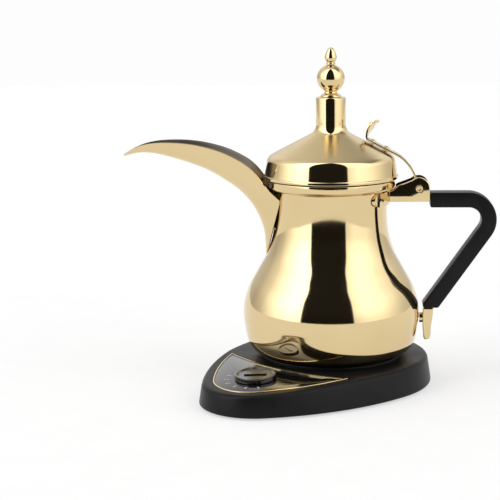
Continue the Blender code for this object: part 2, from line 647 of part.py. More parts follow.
def make_strap(lid):
    path = smooth(LEVER_CURVE, 3) + smooth(STRAP_CURVE, 3)
    strap = side_slab("lid_strap", ribbon(path, STRAP_T), STRAP_HALF, GOLD, hinge_lid)
    eye = rod_between("strap_eye", 3.3, (PIN_X, -STRAP_HALF, PIN_Z), (PIN_X, STRAP_HALF, PIN_Z), None,
                      hinge_lid, 20)
    boolean(strap, eye, "UNION")
    pin_hole = rod_between("strap_pin_hole", PIN_R + GAP + 0.1, (PIN_X, -9, PIN_Z), (PIN_X, 9, PIN_Z), None,
                           hinge_lid, 20)
    cut(strap, pin_hole)
    for number, share in enumerate(RIVET_SHARES, 1):
        spot, along = rivet_place(share)
        up = Vector((-along.y, along.x))
        top = spot + up * (STRAP_T / 2 + GAP)
        low = top - up * 12
        axis = frame_empty(f"rivet_axis_{number}", (top.x, 0.0, top.y),
                           (0.0, math.atan2(up.x, up.y), 0.0), hinge_lid)
        high = top + up * 3
        hole = rod_between(f"rivet_hole_{number}", 1.7, (low.x, 0, low.y), (high.x, 0, high.y), None,
                           hinge_lid, 12)
        cut(strap, hole)
        cut(lid, hole)
        rivet = [(0.0, 0.9), (1.3, 0.7), (2.4, 0.0), (1.35, 0.0), (1.35, -7.5), (0.0, -7.5)]
        turned(f"strap_rivet_{number}", rivet, GOLD, axis, 14)


# ---------------------------------------------------------------- hinge bracket and pin

NECK_BAND_R = 39.0
BAND_LOW = 124.6
BAND_HIGH = 133.4
BAND_HALF_ANGLE = math.radians(45.0)


def make_bracket():
    outline = [(NECK_BAND_R + 0.5, BRACKET_LOW_Z), (BRACKET_END_X, BRACKET_LOW_Z)]
    outline += arc((PIN_X, PIN_Z), BRACKET_END_X - PIN_X, 0.0, math.radians(112.0), 8)
    outline += [(54.9, 140.6), (46.0, 137.2), (NECK_BAND_R + 4.0, 134.6), (NECK_BAND_R + 0.5, 133.2)]
    bracket = side_slab("hinge_bracket", outline, EAR_OUT_Y, GOLD, pot_axis)
    ear_slot = box("ear_slot", (44.5, -EAR_IN_Y, BRACKET_LOW_Z + 1.1),
                   (BRACKET_END_X - BRACKET_WALL, EAR_IN_Y, 150.0), None, pot_axis)
    # the end wall stays low, so that the strap can lie back over it when the lid is open
    strap_way = box("strap_way", (PIN_X, -EAR_IN_Y, 133.2), (BRACKET_END_X + 3, EAR_IN_Y, 150.0), None,
                    pot_axis)
    cut(bracket, ear_slot, strap_way)
    sweep = arc((0, 0), NECK_BAND_R + 1.5, -BAND_HALF_ANGLE, BAND_HALF_ANGLE, 20)
    sweep += arc((0, 0), NECK_BAND_R, BAND_HALF_ANGLE, -BAND_HALF_ANGLE, 20)
    band = slab("neck_band", [sweep], (BAND_HIGH - BAND_LOW) / 2, None, pot_axis)
    band.location.z = (BAND_HIGH + BAND_LOW) / 2 * MM
    boolean(bracket, band, "UNION")
    cut(bracket, rod("neck_clearance", NECK_BAND_R, 100.0, 160.0, None, pot_axis, segments=72))
    cut(bracket, rod_between("ear_pin_hole", PIN_R + GAP, (PIN_X, -12, PIN_Z), (PIN_X, 12, PIN_Z), None,
                             pot_axis, 20))
    cut(bracket, rod_between("bracket_screw_hole", SCREW_HOLE_R, (60.0, 0, GRIP_SCREW_Z),
                             (75.0, 0, GRIP_SCREW_Z), None, pot_axis, 12))

    head = EAR_OUT_Y + GAP
    pin = [(PIN_R, head), (2.4, head), (2.4, head + 0.7), (1.9, head + 1.0), (1.1, head + 1.0)]
    lower = [(radius, -height) for radius, height in pin[::-1]]
    profile = pin[::-1] + lower[::-1]
    obj = turned("hinge_pin", profile, GOLD, pot_axis, 12, closed=True)
    obj.rotation_euler = (math.radians(90.0), 0.0, 0.0)
    obj.location = (PIN_X * MM, 0.0, PIN_Z * MM)


# ---------------------------------------------------------------- grip and its lower bracket

def grip_outline():
    """Both sides of the grip: level bar, round bend, slanting bar, level cut at the lower end."""
    # the two bars' centrelines meet at the corner, and the bend is tangent to both
    slant = Vector((math.cos(GRIP_SLANT), math.sin(GRIP_SLANT)))
    turn = math.pi - GRIP_SLANT
    bend_x = GRIP_REACH - GRIP_T / 2 - GRIP_BEND_R
    centre = (bend_x, GRIP_TOP_Z - GRIP_BEND_R)
    outline = []
    for offset in (GRIP_T / 2, -GRIP_T / 2):
        radius = GRIP_BEND_R + offset
        side = arc(centre, radius, math.pi / 2, math.pi / 2 - turn, 10)
        last = Vector(side[-1])
        side = [(GRIP_START_X, GRIP_TOP_Z + offset)] + side
        if offset > 0:
            side.append(tuple(last - slant * ((last.y - GRIP_END_Z) / slant.y)))
            outline += side
        else:
            side.append(tuple(last - slant * ((last.x - GRIP_HEEL_X) / slant.x)))
            side.append((GRIP_HEEL_X + 0.5, GRIP_END_Z))
            outline += side[::-1]
    return outline, slant


def make_grip():
    outline, slant = grip_outline()
    grip = side_slab("handle_grip", outline, GRIP_WIDTH / 2, GRIP_BLACK, pot_axis)
    bevel(grip, 2.8, 2)
    cut(grip, rod_between("grip_screw_hole", SCREW_HOLE_R, (GRIP_START_X - 3, 0, GRIP_SCREW_Z),
                          (GRIP_START_X + 16, 0, GRIP_SCREW_Z), None, pot_axis, 12))
    foot_outline = [(63.7, GRIP_END_Z - GAP), (70.8, GRIP_END_Z - GAP), (70.2, 45.0), (69.0, 38.0),
                    (68.9, 31.0), (68.0, 29.0), (65.0, 29.0), (64.0, 31.5), (63.5, 38.0), (63.3, 45.0)]
    foot = side_slab("handle_foot", foot_outline, 5.5, GOLD, pot_axis)
    boss = rod_between("foot_boss", 3.6, (61.2, 0, 43.7), (66.0, 0, 43.7), None, pot_axis)
    boolean(foot, boss, "UNION")
    joint = Vector((67.6, 0.0, GRIP_END_Z))
    along = Vector((slant.x, 0.0, slant.y))
    hole = rod_between("stud_hole_lower", SCREW_HOLE_R, joint - along * 3.6, joint + along * 13, None,
                       pot_axis, 12)
    cut(grip, hole)
    cut(foot, hole)
    rod_between("handle_stud", 1.5, joint - along * 3.2, joint + along * 12, STEEL, pot_axis, 12)
    head_end = (BRACKET_END_X - BRACKET_WALL - GAP, 0, GRIP_SCREW_Z)
    head_start = (head_end[0] - 1.9, 0, GRIP_SCREW_Z)
    screw = rod_between("grip_screw", 1.5, head_start, (GRIP_START_X + 15, 0, GRIP_SCREW_Z), STEEL,
                        pot_axis, 12)
    head = rod_between("grip_screw_head", 2.1, head_start, head_end, None, pot_axis, 16)
    boolean(screw, head, "UNION")


# The lid and what is fixed to it turn about the hinge pin, so they hang from an empty on its axis;
# their shapes are drawn from the pot's axis at table level.
hinge_lid = frame_empty("hinge_lid", (-PIN_X, 0.0, -PIN_Z), parent=hinge_axis)

make_base()
make_power_post()
make_controls()
make_cord_gland()
make_pot_body()
make_spout()
make_heater()
make_strap(make_lid())
make_finial()
make_bracket()
make_grip()
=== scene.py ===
"""Looks of the electric dallah: studio, finishes and the finely made visible pieces.

Sizes are in millimetres and MM turns them into metres. The pot's pieces are drawn about the pot's own
axis with +X toward the handle, the base's about the same axis with +X toward the base's nose, and the
panel's and the knob's on the sloping top. Each is then settled in its place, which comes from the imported
model's joints.
"""

import json
import math

import bpy
from mathutils import Matrix, Vector


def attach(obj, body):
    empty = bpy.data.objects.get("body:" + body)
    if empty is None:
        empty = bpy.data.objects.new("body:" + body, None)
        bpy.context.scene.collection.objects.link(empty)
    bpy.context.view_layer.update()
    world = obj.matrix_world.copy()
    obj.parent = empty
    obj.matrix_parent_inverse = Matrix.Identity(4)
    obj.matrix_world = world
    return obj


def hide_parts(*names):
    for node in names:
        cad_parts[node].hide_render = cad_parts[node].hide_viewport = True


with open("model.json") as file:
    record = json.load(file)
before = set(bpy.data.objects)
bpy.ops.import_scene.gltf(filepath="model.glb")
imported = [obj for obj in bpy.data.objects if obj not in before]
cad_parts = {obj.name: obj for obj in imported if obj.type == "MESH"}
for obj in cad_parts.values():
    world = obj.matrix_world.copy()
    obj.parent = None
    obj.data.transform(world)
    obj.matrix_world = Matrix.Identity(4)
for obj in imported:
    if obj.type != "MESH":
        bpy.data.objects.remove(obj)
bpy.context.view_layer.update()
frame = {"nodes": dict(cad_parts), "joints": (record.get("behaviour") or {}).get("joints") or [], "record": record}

MM = 0.001
ROUND_STEPS = 128             # facets round the large turned pieces
WELD_GAP = 0.000002           # points nearer than this are one
GAP = 0.3                     # clearance between pieces that touch
JOINTS = {joint["name"]: joint for joint in frame["joints"]}
SLOTS = {part["node"]: part["material_slot"] for part in frame["record"]["subparts"]}

# The hinge pin's place in the pot's own frame fixes where that frame is
PIN_X = 60.0
PIN_Z = 135.2
POT_PLACE = Matrix.Translation(Vector(JOINTS["lid_open"]["pos_m"]) - Vector((PIN_X, 0.0, PIN_Z)) * MM)
POT_AXIS = Vector(JOINTS["pot_turn"]["pos_m"]) * Vector((1, 1, 0))

SEAT_Z = 20.0                 # top of the base under the pot
NOSE_TOP_Z = 15.2             # top of the base at the tip of the nose
SLOPE_START_S = 42.0          # where the top starts to fall toward the nose
BASE_BACK_R = 70.0
BASE_NOSE_R = 38.0
BASE_NOSE_S = 80.0
BASE_SIDE_R = 170.0
NOSE_ANGLE = math.radians(232.0)
SLOPE = math.atan((SEAT_Z - NOSE_TOP_Z) / (BASE_NOSE_S + BASE_NOSE_R - SLOPE_START_S))
BASE_PLACE = Matrix.Translation(POT_AXIS) @ Matrix.Rotation(NOSE_ANGLE, 4, "Z")
PANEL_PLACE = (BASE_PLACE @ Matrix.Translation(Vector((SLOPE_START_S, 0.0, SEAT_Z)) * MM)
               @ Matrix.Rotation(SLOPE, 4, "Y"))
KNOB_PLACE = PANEL_PLACE @ Matrix.Translation(Vector((BASE_NOSE_S - SLOPE_START_S, 0.0, 0.0)) * MM)


# ---------------------------------------------------------------- modelling helpers

def pick(*objects):
    """Leave only these selected, the last of them active."""
    bpy.ops.object.select_all(action="DESELECT")
    for obj in objects:
        obj.select_set(True)
    bpy.context.view_layer.objects.active = objects[-1]


def open_mesh(obj, mode="VERT"):
    pick(obj)
    bpy.ops.object.mode_set(mode="EDIT")
    bpy.ops.mesh.select_mode(type=mode)
    bpy.ops.mesh.select_all(action="SELECT")


def close_mesh():
    """Go back to the whole object."""
    bpy.ops.object.mode_set(mode="OBJECT")


def choose(obj, kind, test):
    """Select only the vertices, edges or faces that pass a test, and open the mesh on them."""
    open_mesh(obj, {"vertices": "VERT", "edges": "EDGE", "polygons": "FACE"}[kind])
    bpy.ops.mesh.select_all(action="DESELECT")
    close_mesh()
    for item in getattr(obj.data, kind):
        item.select = test(item)
    bpy.ops.object.mode_set(mode="EDIT")


def draw(name, points):
    """Draw a line of (x, z) points by extruding one point after another."""
    bpy.ops.object.select_all(action="DESELECT")
    bpy.ops.mesh.primitive_plane_add(size=MM, location=(0.0, 0.0, 0.0))
    obj = bpy.context.object
    obj.name = name
    obj.data.name = name
    open_mesh(obj)
    bpy.ops.mesh.merge(type="CENTER")
    spots = [Vector((x, 0.0, z)) * MM for x, z in points]
    bpy.ops.transform.translate(value=spots[0])
    for here, there in zip(spots, spots[1:]):
        bpy.ops.mesh.extrude_region_move(TRANSFORM_OT_translate={"value": there - here})
    close_mesh()
    return obj


def clean(obj):
    """Merge what meets and turn all faces outward."""
    open_mesh(obj)
    bpy.ops.mesh.remove_doubles(threshold=WELD_GAP)
    bpy.ops.mesh.normals_make_consistent(inside=False)
    close_mesh()


def turn(name, profile, turns=96):
    """Spin a closed or axis-to-axis profile of (radius, height) about the upright axis."""
    obj = draw(name, profile)
    open_mesh(obj)
    bpy.ops.mesh.spin(steps=turns, angle=math.tau, center=(0.0, 0.0, 0.0), axis=(0.0, 0.0, 1.0))
    close_mesh()
    clean(obj)
    return obj


def plate(name, outline, low, high):
    """A plate whose outline lies in the XZ plane, thick from low to high along Y."""
    obj = draw(name, [*outline, outline[0]])
    open_mesh(obj)
    bpy.ops.mesh.remove_doubles(threshold=WELD_GAP)
    bpy.ops.mesh.edge_face_add()
    bpy.ops.transform.translate(value=(0.0, low * MM, 0.0))
    bpy.ops.mesh.extrude_region_move(TRANSFORM_OT_translate={"value": (0.0, (high - low) * MM, 0.0)})
    close_mesh()
    clean(obj)
    return obj


def flat_plate(name, outline, low, high):
    """A plate whose outline lies flat, thick from low to high."""
    obj = plate(name, outline, -high, -low)
    settle(obj, Matrix.Rotation(math.radians(-90.0), 4, "X"))
    return obj


def settle(obj, place):
    """Move a shape to its place and leave its object at the origin."""
    pick(obj)
    obj.matrix_world = place @ obj.matrix_world
    bpy.ops.object.transform_apply(location=True, rotation=True, scale=True)


def apply_all(obj):
    """Turn the modifiers into plain shape."""
    pick(obj)
    for modifier in list(obj.modifiers):
        bpy.ops.object.modifier_apply(modifier=modifier.name)


def combine(obj, other, operation):
    """Cut, join or trim with another shape, which is used up."""
    modifier = obj.modifiers.new(operation.lower(), "BOOLEAN")
    modifier.operation = operation
    modifier.object = other
    apply_all(obj)
    bpy.data.objects.remove(other, do_unlink=True)


def cut(obj, *cutters):
    """Take shapes away."""
    for cutter in cutters:
        combine(obj, cutter, "DIFFERENCE")


def weld(obj, *others):
    """Add shapes, leaving one skin."""
    for other in others:
        combine(obj, other, "UNION")


def gather(obj, *others):
    """Make one piece of shapes that sink into each other."""
    pick(*others, obj)
    bpy.ops.object.join()


def soften(obj, width, segments=3, angle=35.0):
    """Round the edges that are sharper than an angle."""
    modifier = obj.modifiers.new("rounded", "BEVEL")
    modifier.width = width * MM
    modifier.segments = segments
    modifier.limit_method = "ANGLE"
    modifier.angle_limit = math.radians(angle)
    apply_all(obj)


def thicken(obj, thickness, offset):
    """Give a bent sheet its thickness."""
    modifier = obj.modifiers.new("sheet", "SOLIDIFY")
    modifier.thickness = thickness * MM
    modifier.offset = offset
    modifier.use_even_offset = True
    apply_all(obj)


def rod(name, radius, start, end, vertices=32):
    """A plain round bar between two points, for holes, bosses and eyes."""
    start = Vector(start) * MM
    end = Vector(end) * MM
    bpy.ops.object.select_all(action="DESELECT")
    bpy.ops.mesh.primitive_cylinder_add(vertices=vertices, radius=radius * MM, depth=(end - start).length)
    obj = bpy.context.object
    obj.name = name
    lean = (end - start).to_track_quat("Z", "Y").to_matrix().to_4x4()
    settle(obj, Matrix.Translation((start + end) / 2) @ lean)
    return obj


def block(name, low, high):
    """A plain block between two corners."""
    bpy.ops.object.select_all(action="DESELECT")
    bpy.ops.mesh.primitive_cube_add(size=1.0)
    obj = bpy.context.object
    obj.name = name
    low = Vector(low) * MM
    high = Vector(high) * MM
    settle(obj, Matrix.Translation((low + high) / 2) @ Matrix.Diagonal((*(high - low), 1.0)))
    return obj


def hand_in(obj, place, body, node, material, angle=30.0):
    """Put a piece in its place, smooth it, give it its finish, and let it stand for its CAD node."""
    settle(obj, place)
    obj.name = "finished_" + node
    obj.data.materials.clear()
    obj.data.materials.append(material)
    pick(obj)
    bpy.ops.object.shade_smooth_by_angle(angle=math.radians(angle))
    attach(obj, body)
    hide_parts(node)


# ---------------------------------------------------------------- lines and curves

def arc(centre, radius, start, end, count):
    """Points on an arc; angles in radians."""
    angles = [start + (end - start) * i / count for i in range(count + 1)]
    return [(centre[0] + radius * math.cos(a), centre[1] + radius * math.sin(a)) for a in angles]


def smooth(points, per_span):
    """A Catmull-Rom curve through the points."""
    ends = [points[0], *points, points[-1]]
    out = []
    for i in range(1, len(ends) - 2):
        p0, p1, p2, p3 = (Vector(ends[i + k]) for k in (-1, 0, 1, 2))
        for j in range(per_span):
            t = j / per_span
            out.append(tuple(0.5 * (2 * p1 + (p2 - p0) * t + (2 * p0 - 5 * p1 + 4 * p2 - p3) * t * t
                                    + (3 * p1 - p0 - 3 * p2 + p3) * t ** 3)))
    out.append(tuple(points[-1]))
    return out


def eased(points, reach, count=4):
    """The same line with each inner corner rounded over the given reach."""
    out = [points[0]]
    for before, corner, after in zip(points, points[1:], points[2:]):
        corner = Vector(corner)
        back = Vector(before) - corner
        on = Vector(after) - corner
        near = min(reach, back.length * 0.45, on.length * 0.45)
        start = corner + back.normalized() * near
        end = corner + on.normalized() * near
        for j in range(count + 1):
            t = j / count
            out.append(tuple(start * (1 - t) ** 2 + corner * 2 * t * (1 - t) + end * t * t))
    out.append(points[-1])
    return out


def inner_line(points, thickness):
    """The line that lies a wall's thickness inside an outer line running down, in reverse order."""
    out = []
    for i, point in enumerate(points):
        along = Vector(points[min(i + 1, len(points) - 1)]) - Vector(points[max(i - 1, 0)])
        inward = Vector((along.y, -along.x)).normalized()
        out.append(tuple(Vector(point) + inward * thickness))
    return out[::-1]


# ---------------------------------------------------------------- finishes

def new_finish(name, color, roughness, metallic=0.0):
    """A material with its constants set, and its tree and shader for the rest."""
    material = bpy.data.materials.new(name)
    material.use_nodes = True
    tree = material.node_tree
    shader = tree.nodes["Principled BSDF"]
    shader.inputs["Base Color"].default_value = (*color, 1.0)
    shader.inputs["Roughness"].default_value = roughness
    shader.inputs["Metallic"].default_value = metallic
    return material, tree, shader


def object_place(tree, scale=(1.0, 1.0, 1.0)):
    """Object coordinates, stretched."""
    where = tree.nodes.new("ShaderNodeTexCoord")
    mapping = tree.nodes.new("ShaderNodeMapping")
    mapping.inputs["Scale"].default_value = scale
    tree.links.new(where.outputs["Object"], mapping.inputs["Vector"])
    return mapping.outputs["Vector"]


def noise(tree, vector, scale, detail=3.0, rough=0.5):
    """Uneven grey, which the finishes are made from."""
    node = tree.nodes.new("ShaderNodeTexNoise")
    node.inputs["Scale"].default_value = scale
    node.inputs["Detail"].default_value = detail
    node.inputs["Roughness"].default_value = rough
    tree.links.new(vector, node.inputs["Vector"])
    return node.outputs["Fac"]


def spread(tree, value, low, high, from_low=0.35, from_high=0.65):
    """Spread a value from its usual range to another."""
    node = tree.nodes.new("ShaderNodeMapRange")
    node.inputs["From Min"].default_value = from_low
    node.inputs["From Max"].default_value = from_high
    node.inputs["To Min"].default_value = low
    node.inputs["To Max"].default_value = high
    tree.links.new(value, node.inputs["Value"])
    return node.outputs["Result"]


def two_colors(tree, value, first, second):
    """Pass from one colour to another."""
    node = tree.nodes.new("ShaderNodeMix")
    node.data_type = "RGBA"
    factor, _, _, _, _, _, color_a, color_b = node.inputs[:8]
    color_a.default_value = (*first, 1.0)
    color_b.default_value = (*second, 1.0)
    tree.links.new(value, factor)
    return node.outputs[2]


def bump(tree, shader, height, distance, strength=1.0):
    """Raise the surface a little by a value; the distance is in millimetres."""
    node = tree.nodes.new("ShaderNodeBump")
    node.inputs["Strength"].default_value = strength
    node.inputs["Distance"].default_value = distance * MM
    tree.links.new(height, node.inputs["Height"])
    tree.links.new(node.outputs["Normal"], shader.inputs["Normal"])


GOLD_POLISH = (0.045, 0.085)  # roughness along and between the buffing lines
HAZE_EDGE = 1.5               # over this height the brushing fades in and out


def make_gold(name, brushed=None):
    """Mirror-polished champagne gold: faint buffing lines, slow ripple, and a finely brushed zone if any."""
    material, tree, shader = new_finish(name, (0.735, 0.575, 0.315), 0.06, 1.0)
    broad = noise(tree, object_place(tree), 18.0, 2.0)
    tint = two_colors(tree, spread(tree, broad, 0.0, 1.0), (0.75, 0.59, 0.328), (0.72, 0.56, 0.302))
    tree.links.new(tint, shader.inputs["Base Color"])
    lines = noise(tree, object_place(tree, (1.0, 1.0, 14.0)), 260.0, 4.0, 0.7)
    polish = spread(tree, lines, *GOLD_POLISH)
    if brushed:
        split = tree.nodes.new("ShaderNodeSeparateXYZ")
        tree.links.new(object_place(tree), split.inputs[0])
        low, high, haze = brushed
        above = spread(tree, split.outputs[2], 0.0, haze, low * MM, (low + HAZE_EDGE) * MM)
        below = spread(tree, split.outputs[2], 1.0, 0.0, (high - HAZE_EDGE) * MM, high * MM)
        zone = tree.nodes.new("ShaderNodeMath")
        zone.operation = "MULTIPLY_ADD"
        tree.links.new(above, zone.inputs[0])
        tree.links.new(below, zone.inputs[1])
        tree.links.new(polish, zone.inputs[2])
        polish = zone.outputs[0]
    tree.links.new(polish, shader.inputs["Roughness"])
    bump(tree, shader, noise(tree, object_place(tree), 30.0, 2.0), 0.03, 0.15)
    return material


def make_metal(name, color, roughness):
    """Drawn or cast metal with fine lines."""
    material, tree, shader = new_finish(name, color, roughness, 1.0)
    lines = noise(tree, object_place(tree, (1.0, 1.0, 9.0)), 700.0, 4.0, 0.6)
    duller = tuple(value * 0.86 for value in color)
    mixed = two_colors(tree, spread(tree, lines, 0.0, 1.0), color, duller)
    tree.links.new(mixed, shader.inputs["Base Color"])
    tree.links.new(spread(tree, lines, roughness - 0.08, roughness + 0.1), shader.inputs["Roughness"])
    bump(tree, shader, lines, 0.01, 0.5)
    return material


def make_moulded(name, color, roughness, grain, depth, specular=0.5):
    """Moulded plastic or rubber: a fine grain, uneven sheen and slightly lighter rubbed patches."""
    material, tree, shader = new_finish(name, color, roughness)
    shader.inputs["Specular IOR Level"].default_value = specular
    place = object_place(tree)
    broad = noise(tree, place, 35.0, 4.0)
    rubbed = tuple(value * 1.35 + 0.002 for value in color)
    mixed = two_colors(tree, spread(tree, broad, 0.0, 1.0), color, rubbed)
    tree.links.new(mixed, shader.inputs["Base Color"])
    tree.links.new(spread(tree, broad, roughness - 0.05, roughness + 0.07), shader.inputs["Roughness"])
    bump(tree, shader, noise(tree, place, grain, 2.0), depth)
    return material


def make_gloss():
    """High-gloss black with a trace of dust and hairline wear in its shine."""
    material, tree, shader = new_finish("gloss_black", (0.008, 0.008, 0.008), 0.07)
    shader.inputs["Coat Weight"].default_value = 0.6
    shader.inputs["Coat Roughness"].default_value = 0.04
    place = object_place(tree)
    haze = noise(tree, place, 120.0, 5.0, 0.65)
    tree.links.new(spread(tree, haze, 0.05, 0.13), shader.inputs["Roughness"])
    mixed = two_colors(tree, spread(tree, haze, 0.0, 1.0), (0.007, 0.007, 0.007), (0.012, 0.011, 0.010))
    tree.links.new(mixed, shader.inputs["Base Color"])
    bump(tree, shader, noise(tree, place, 45.0, 2.0), 0.02, 0.2)
    return material


def make_board():
    """Green board with a woven glass look."""
    material, tree, shader = new_finish("board_green", (0.02, 0.16, 0.07), 0.4)
    weave = noise(tree, object_place(tree, (1.0, 4.0, 1.0)), 500.0, 2.0)
    tree.links.new(two_colors(tree, spread(tree, weave, 0.0, 1.0), (0.015, 0.13, 0.055), (0.03, 0.20, 0.09)),
                   shader.inputs["Base Color"])
    bump(tree, shader, weave, 0.02)
    return material


def make_print():
    """The pale grey of printed marks, worn in spots."""
    material, tree, shader = new_finish("printed_grey", (0.45, 0.44, 0.42), 0.45)
    worn = noise(tree, object_place(tree), 900.0, 3.0)
    tree.links.new(two_colors(tree, spread(tree, worn, 0.0, 1.0), (0.50, 0.49, 0.46), (0.34, 0.33, 0.31)),
                   shader.inputs["Base Color"])
    tree.links.new(spread(tree, worn, 0.4, 0.55), shader.inputs["Roughness"])
    return material


GOLD = make_gold("polished_gold")
LID_BRUSHED = (159.5, 175.0, 0.17)     # from this height to that, and how much duller
LID_GOLD = make_gold("lid_gold", LID_BRUSHED)
# Dark metal for the spout's inner faces: its darkness is painted shade inside the open channel, not the metal's
# own colour
CHANNEL_PAINTED_SHADE = make_metal("spout_channel", (0.13, 0.115, 0.095), 0.3)
GRIP_BLACK = make_moulded("grip_satin_black", (0.005, 0.005, 0.0052), 0.33, 2600.0, 0.012, 0.17)
HOUSING_BLACK = make_moulded("housing_satin_black", (0.0052, 0.005, 0.005), 0.36, 2200.0, 0.018, 0.15)
GLOSS = make_gloss()
PRINT = make_print()
STEEL = make_metal("plain_steel", (0.60, 0.59, 0.57), 0.34)
BRASS = make_metal("turned_brass", (0.72, 0.53, 0.24), 0.28)
INNER_PLASTIC = make_moulded("inner_plastic", (0.055, 0.055, 0.06), 0.5, 1500.0, 0.02)
RUBBER = make_moulded("foot_rubber", (0.022, 0.022, 0.022), 0.75, 1800.0, 0.03, 0.3)
SILICONE = make_moulded("silicone", (0.52, 0.49, 0.45), 0.55, 1200.0, 0.015)
FINISHES = {
    "gold": GOLD,
    "steel": STEEL,
    "aluminium": make_metal("cast_aluminium", (0.72, 0.72, 0.73), 0.46),
    "contact_brass": BRASS,
    "grip_black": GRIP_BLACK,
    "housing_black": HOUSING_BLACK,
    "panel_gloss": GLOSS,
    "inner_plastic": INNER_PLASTIC,
    "rubber": RUBBER,
    "silicone": SILICONE,
    "board_green": make_board(),
}


def dress_the_rest():
    """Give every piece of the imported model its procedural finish."""
    for node, piece in frame["nodes"].items():
        for place in piece.material_slots:
            place.material = FINISHES[SLOTS[node]]


# ---------------------------------------------------------------- pot body

SHEET = 1.0                   # thickness of the pot's metal
RIM = [(42.3, 141.4), (43.4, 141.4), (43.9, 140.8), (43.9, 136.4), (42.9, 135.3), (40.9, 134.8),
       (39.4, 134.3)]
RIM_INSIDE = [(42.6, 141.4), (42.9, 140.4), (42.9, 136.8), (42.4, 136.2), (40.6, 135.8), (38.6, 134.9)]
BODY = [(38.8, 133.2), (38.6, 130.5), (38.3, 123.0), (38.8, 111.5), (40.3, 101.6), (44.1, 90.0), (50.7, 78.0),
        (56.7, 67.0), (60.3, 56.0), (61.0, 47.0), (60.4, 41.0), (58.8, 31.0), (56.0, 25.0), (52.0, 21.8),
        (46.5, 20.4)]
STRAINER_ROWS = [(100.0, (-5.0, 5.0)), (107.0, (-9.0, 0.0, 9.0)), (114.0, (-5.0, 5.0)),
                 (121.0, (-9.0, 0.0, 9.0))]
STRAINER_R = 1.9
FLOOR_Z = 32.3
FLOOR_R = 57.4


def make_pot_body():
    """The turned shell with its rim bead, and strainer holes behind the spout."""
    outer = eased(RIM, 0.45, 3)[:-1] + smooth([RIM[-1], *BODY], 7)[1:]
    inside = inner_line(smooth(BODY, 7), SHEET) + RIM_INSIDE[::-1]
    body = turn("pot_body", [*outer, *inside, outer[0]], ROUND_STEPS)
    for height, offsets in STRAINER_ROWS:
        for y in offsets:
            cut(body, rod("strainer_hole", STRAINER_R, (-50.0, y, height), (-28.0, y, height), 20))
    hand_in(body, POT_PLACE, "pot", "pot_body", GOLD)


def make_pot_floor():
    """The pot's own floor, with a small round at its edge."""
    top = FLOOR_Z + SHEET
    edge = [(54.0, top), (FLOOR_R, top), (FLOOR_R, FLOOR_Z), (54.0, FLOOR_Z)]
    profile = [(0.0, top), *eased(edge, 0.4, 3), (0.0, FLOOR_Z)]
    floor = turn("pot_floor", profile)
    hand_in(floor, POT_PLACE, "pot", "pot_floor", STEEL)


# ---------------------------------------------------------------- spout

# Along the spout: middle of the two top edges (x, z), keel (x, z), half width
SPOUT_SECTIONS = [
    ((-34.2, 127.5), (-45.0, 88.0), 17.2),
    ((-43.6, 136.9), (-46.2, 105.0), 18.0),
    ((-51.5, 146.9), (-52.0, 120.0), 18.0),
    ((-59.3, 153.6), (-61.1, 131.7), 17.6),
    ((-71.3, 159.8), (-72.9, 140.5), 16.6),
    ((-83.0, 163.6), (-84.7, 147.3), 15.2),
    ((-94.7, 165.9), (-96.5, 152.0), 13.8),
    ((-107.0, 166.8), (-108.5, 155.8), 12.0),
    ((-120.0, 166.4), (-121.7, 158.9), 9.2),
    ((-131.0, 164.0), (-132.4, 159.4), 6.0),
    ((-142.0, 158.6), (-142.6, 157.2), 1.2),
]
SPOUT_SHEET = 0.9
SPOUT_ACROSS = 14             # steps from the keel to one top edge
SPOUT_ALONG = 6
KEEL_SHAPE = 1.7              # 1 would be a plain V, 2 a round channel
SPOUT_GAP = 0.2               # how far the spout's root stands off the body


def body_envelope(gap):
    """A solid of the pot's outer shape, a little larger, to trim what is fitted to it."""
    line = smooth(BODY, 7)
    line = [(radius + gap, height) for radius, height in line]
    return turn("envelope", [(0.0, line[0][1] + 12.0), (line[0][0], line[0][1] + 12.0), *line,
                             (0.0, line[-1][1])], ROUND_STEPS)


def make_spout():
    """An open channel: one section is drawn, then extruded, swung and scaled from ring to ring."""
    tops = smooth([top for top, keel, half in SPOUT_SECTIONS], SPOUT_ALONG)
    keels = smooth([keel for top, keel, half in SPOUT_SECTIONS], SPOUT_ALONG)
    halves = [half for half, _ in smooth([(half, 0.0) for top, keel, half in SPOUT_SECTIONS], SPOUT_ALONG)]
    rises = [Vector(top) - Vector(keel) for top, keel in zip(tops, keels)]
    leans = [math.atan2(rise.x, rise.y) for rise in rises]
    spots = [Vector((keel[0], 0.0, keel[1])) * MM for keel in keels]
    sides = [i / SPOUT_ACROSS for i in range(-SPOUT_ACROSS, SPOUT_ACROSS + 1)]
    spout = draw("spout", [(side, abs(side) ** KEEL_SHAPE) for side in sides])
    settle(spout, Matrix.Rotation(math.radians(90.0), 4, "Z"))
    open_mesh(spout)
    bpy.ops.transform.resize(value=(1.0, halves[0], rises[0].length), center_override=(0.0, 0.0, 0.0))
    bpy.ops.transform.rotate(value=-leans[0], orient_axis="Y", center_override=(0.0, 0.0, 0.0))
    bpy.ops.transform.translate(value=spots[0])
    for i in range(1, len(spots)):
        bpy.ops.mesh.extrude_region_move(TRANSFORM_OT_translate={"value": spots[i] - spots[i - 1]})
        bpy.ops.transform.rotate(value=leans[i - 1], orient_axis="Y", center_override=spots[i])
        growth = (1.0, halves[i] / halves[i - 1], rises[i].length / rises[i - 1].length)
        bpy.ops.transform.resize(value=growth, center_override=spots[i])
        bpy.ops.transform.rotate(value=-leans[i], orient_axis="Y", center_override=spots[i])
    close_mesh()
    keel_up = sum(face.normal.z for face in spout.data.polygons) > 0.0
    thicken(spout, SPOUT_SHEET, 1.0 if keel_up else -1.0)
    soften(spout, 0.3, 2, 60.0)
    cut(spout, body_envelope(SPOUT_GAP))
    hand_in(spout, POT_PLACE, "pot", "spout", GOLD, 40.0)
    # The inner faces of the channel take the dark metal, which paints in the shade inside the channel
    spout.data.materials.append(CHANNEL_PAINTED_SHADE)
    choose(spout, "polygons", lambda face: (face.center.y - POT_AXIS.y) * face.normal.y < 0.0)
    spout.active_material_index = 1
    bpy.ops.object.material_slot_assign()
    close_mesh()


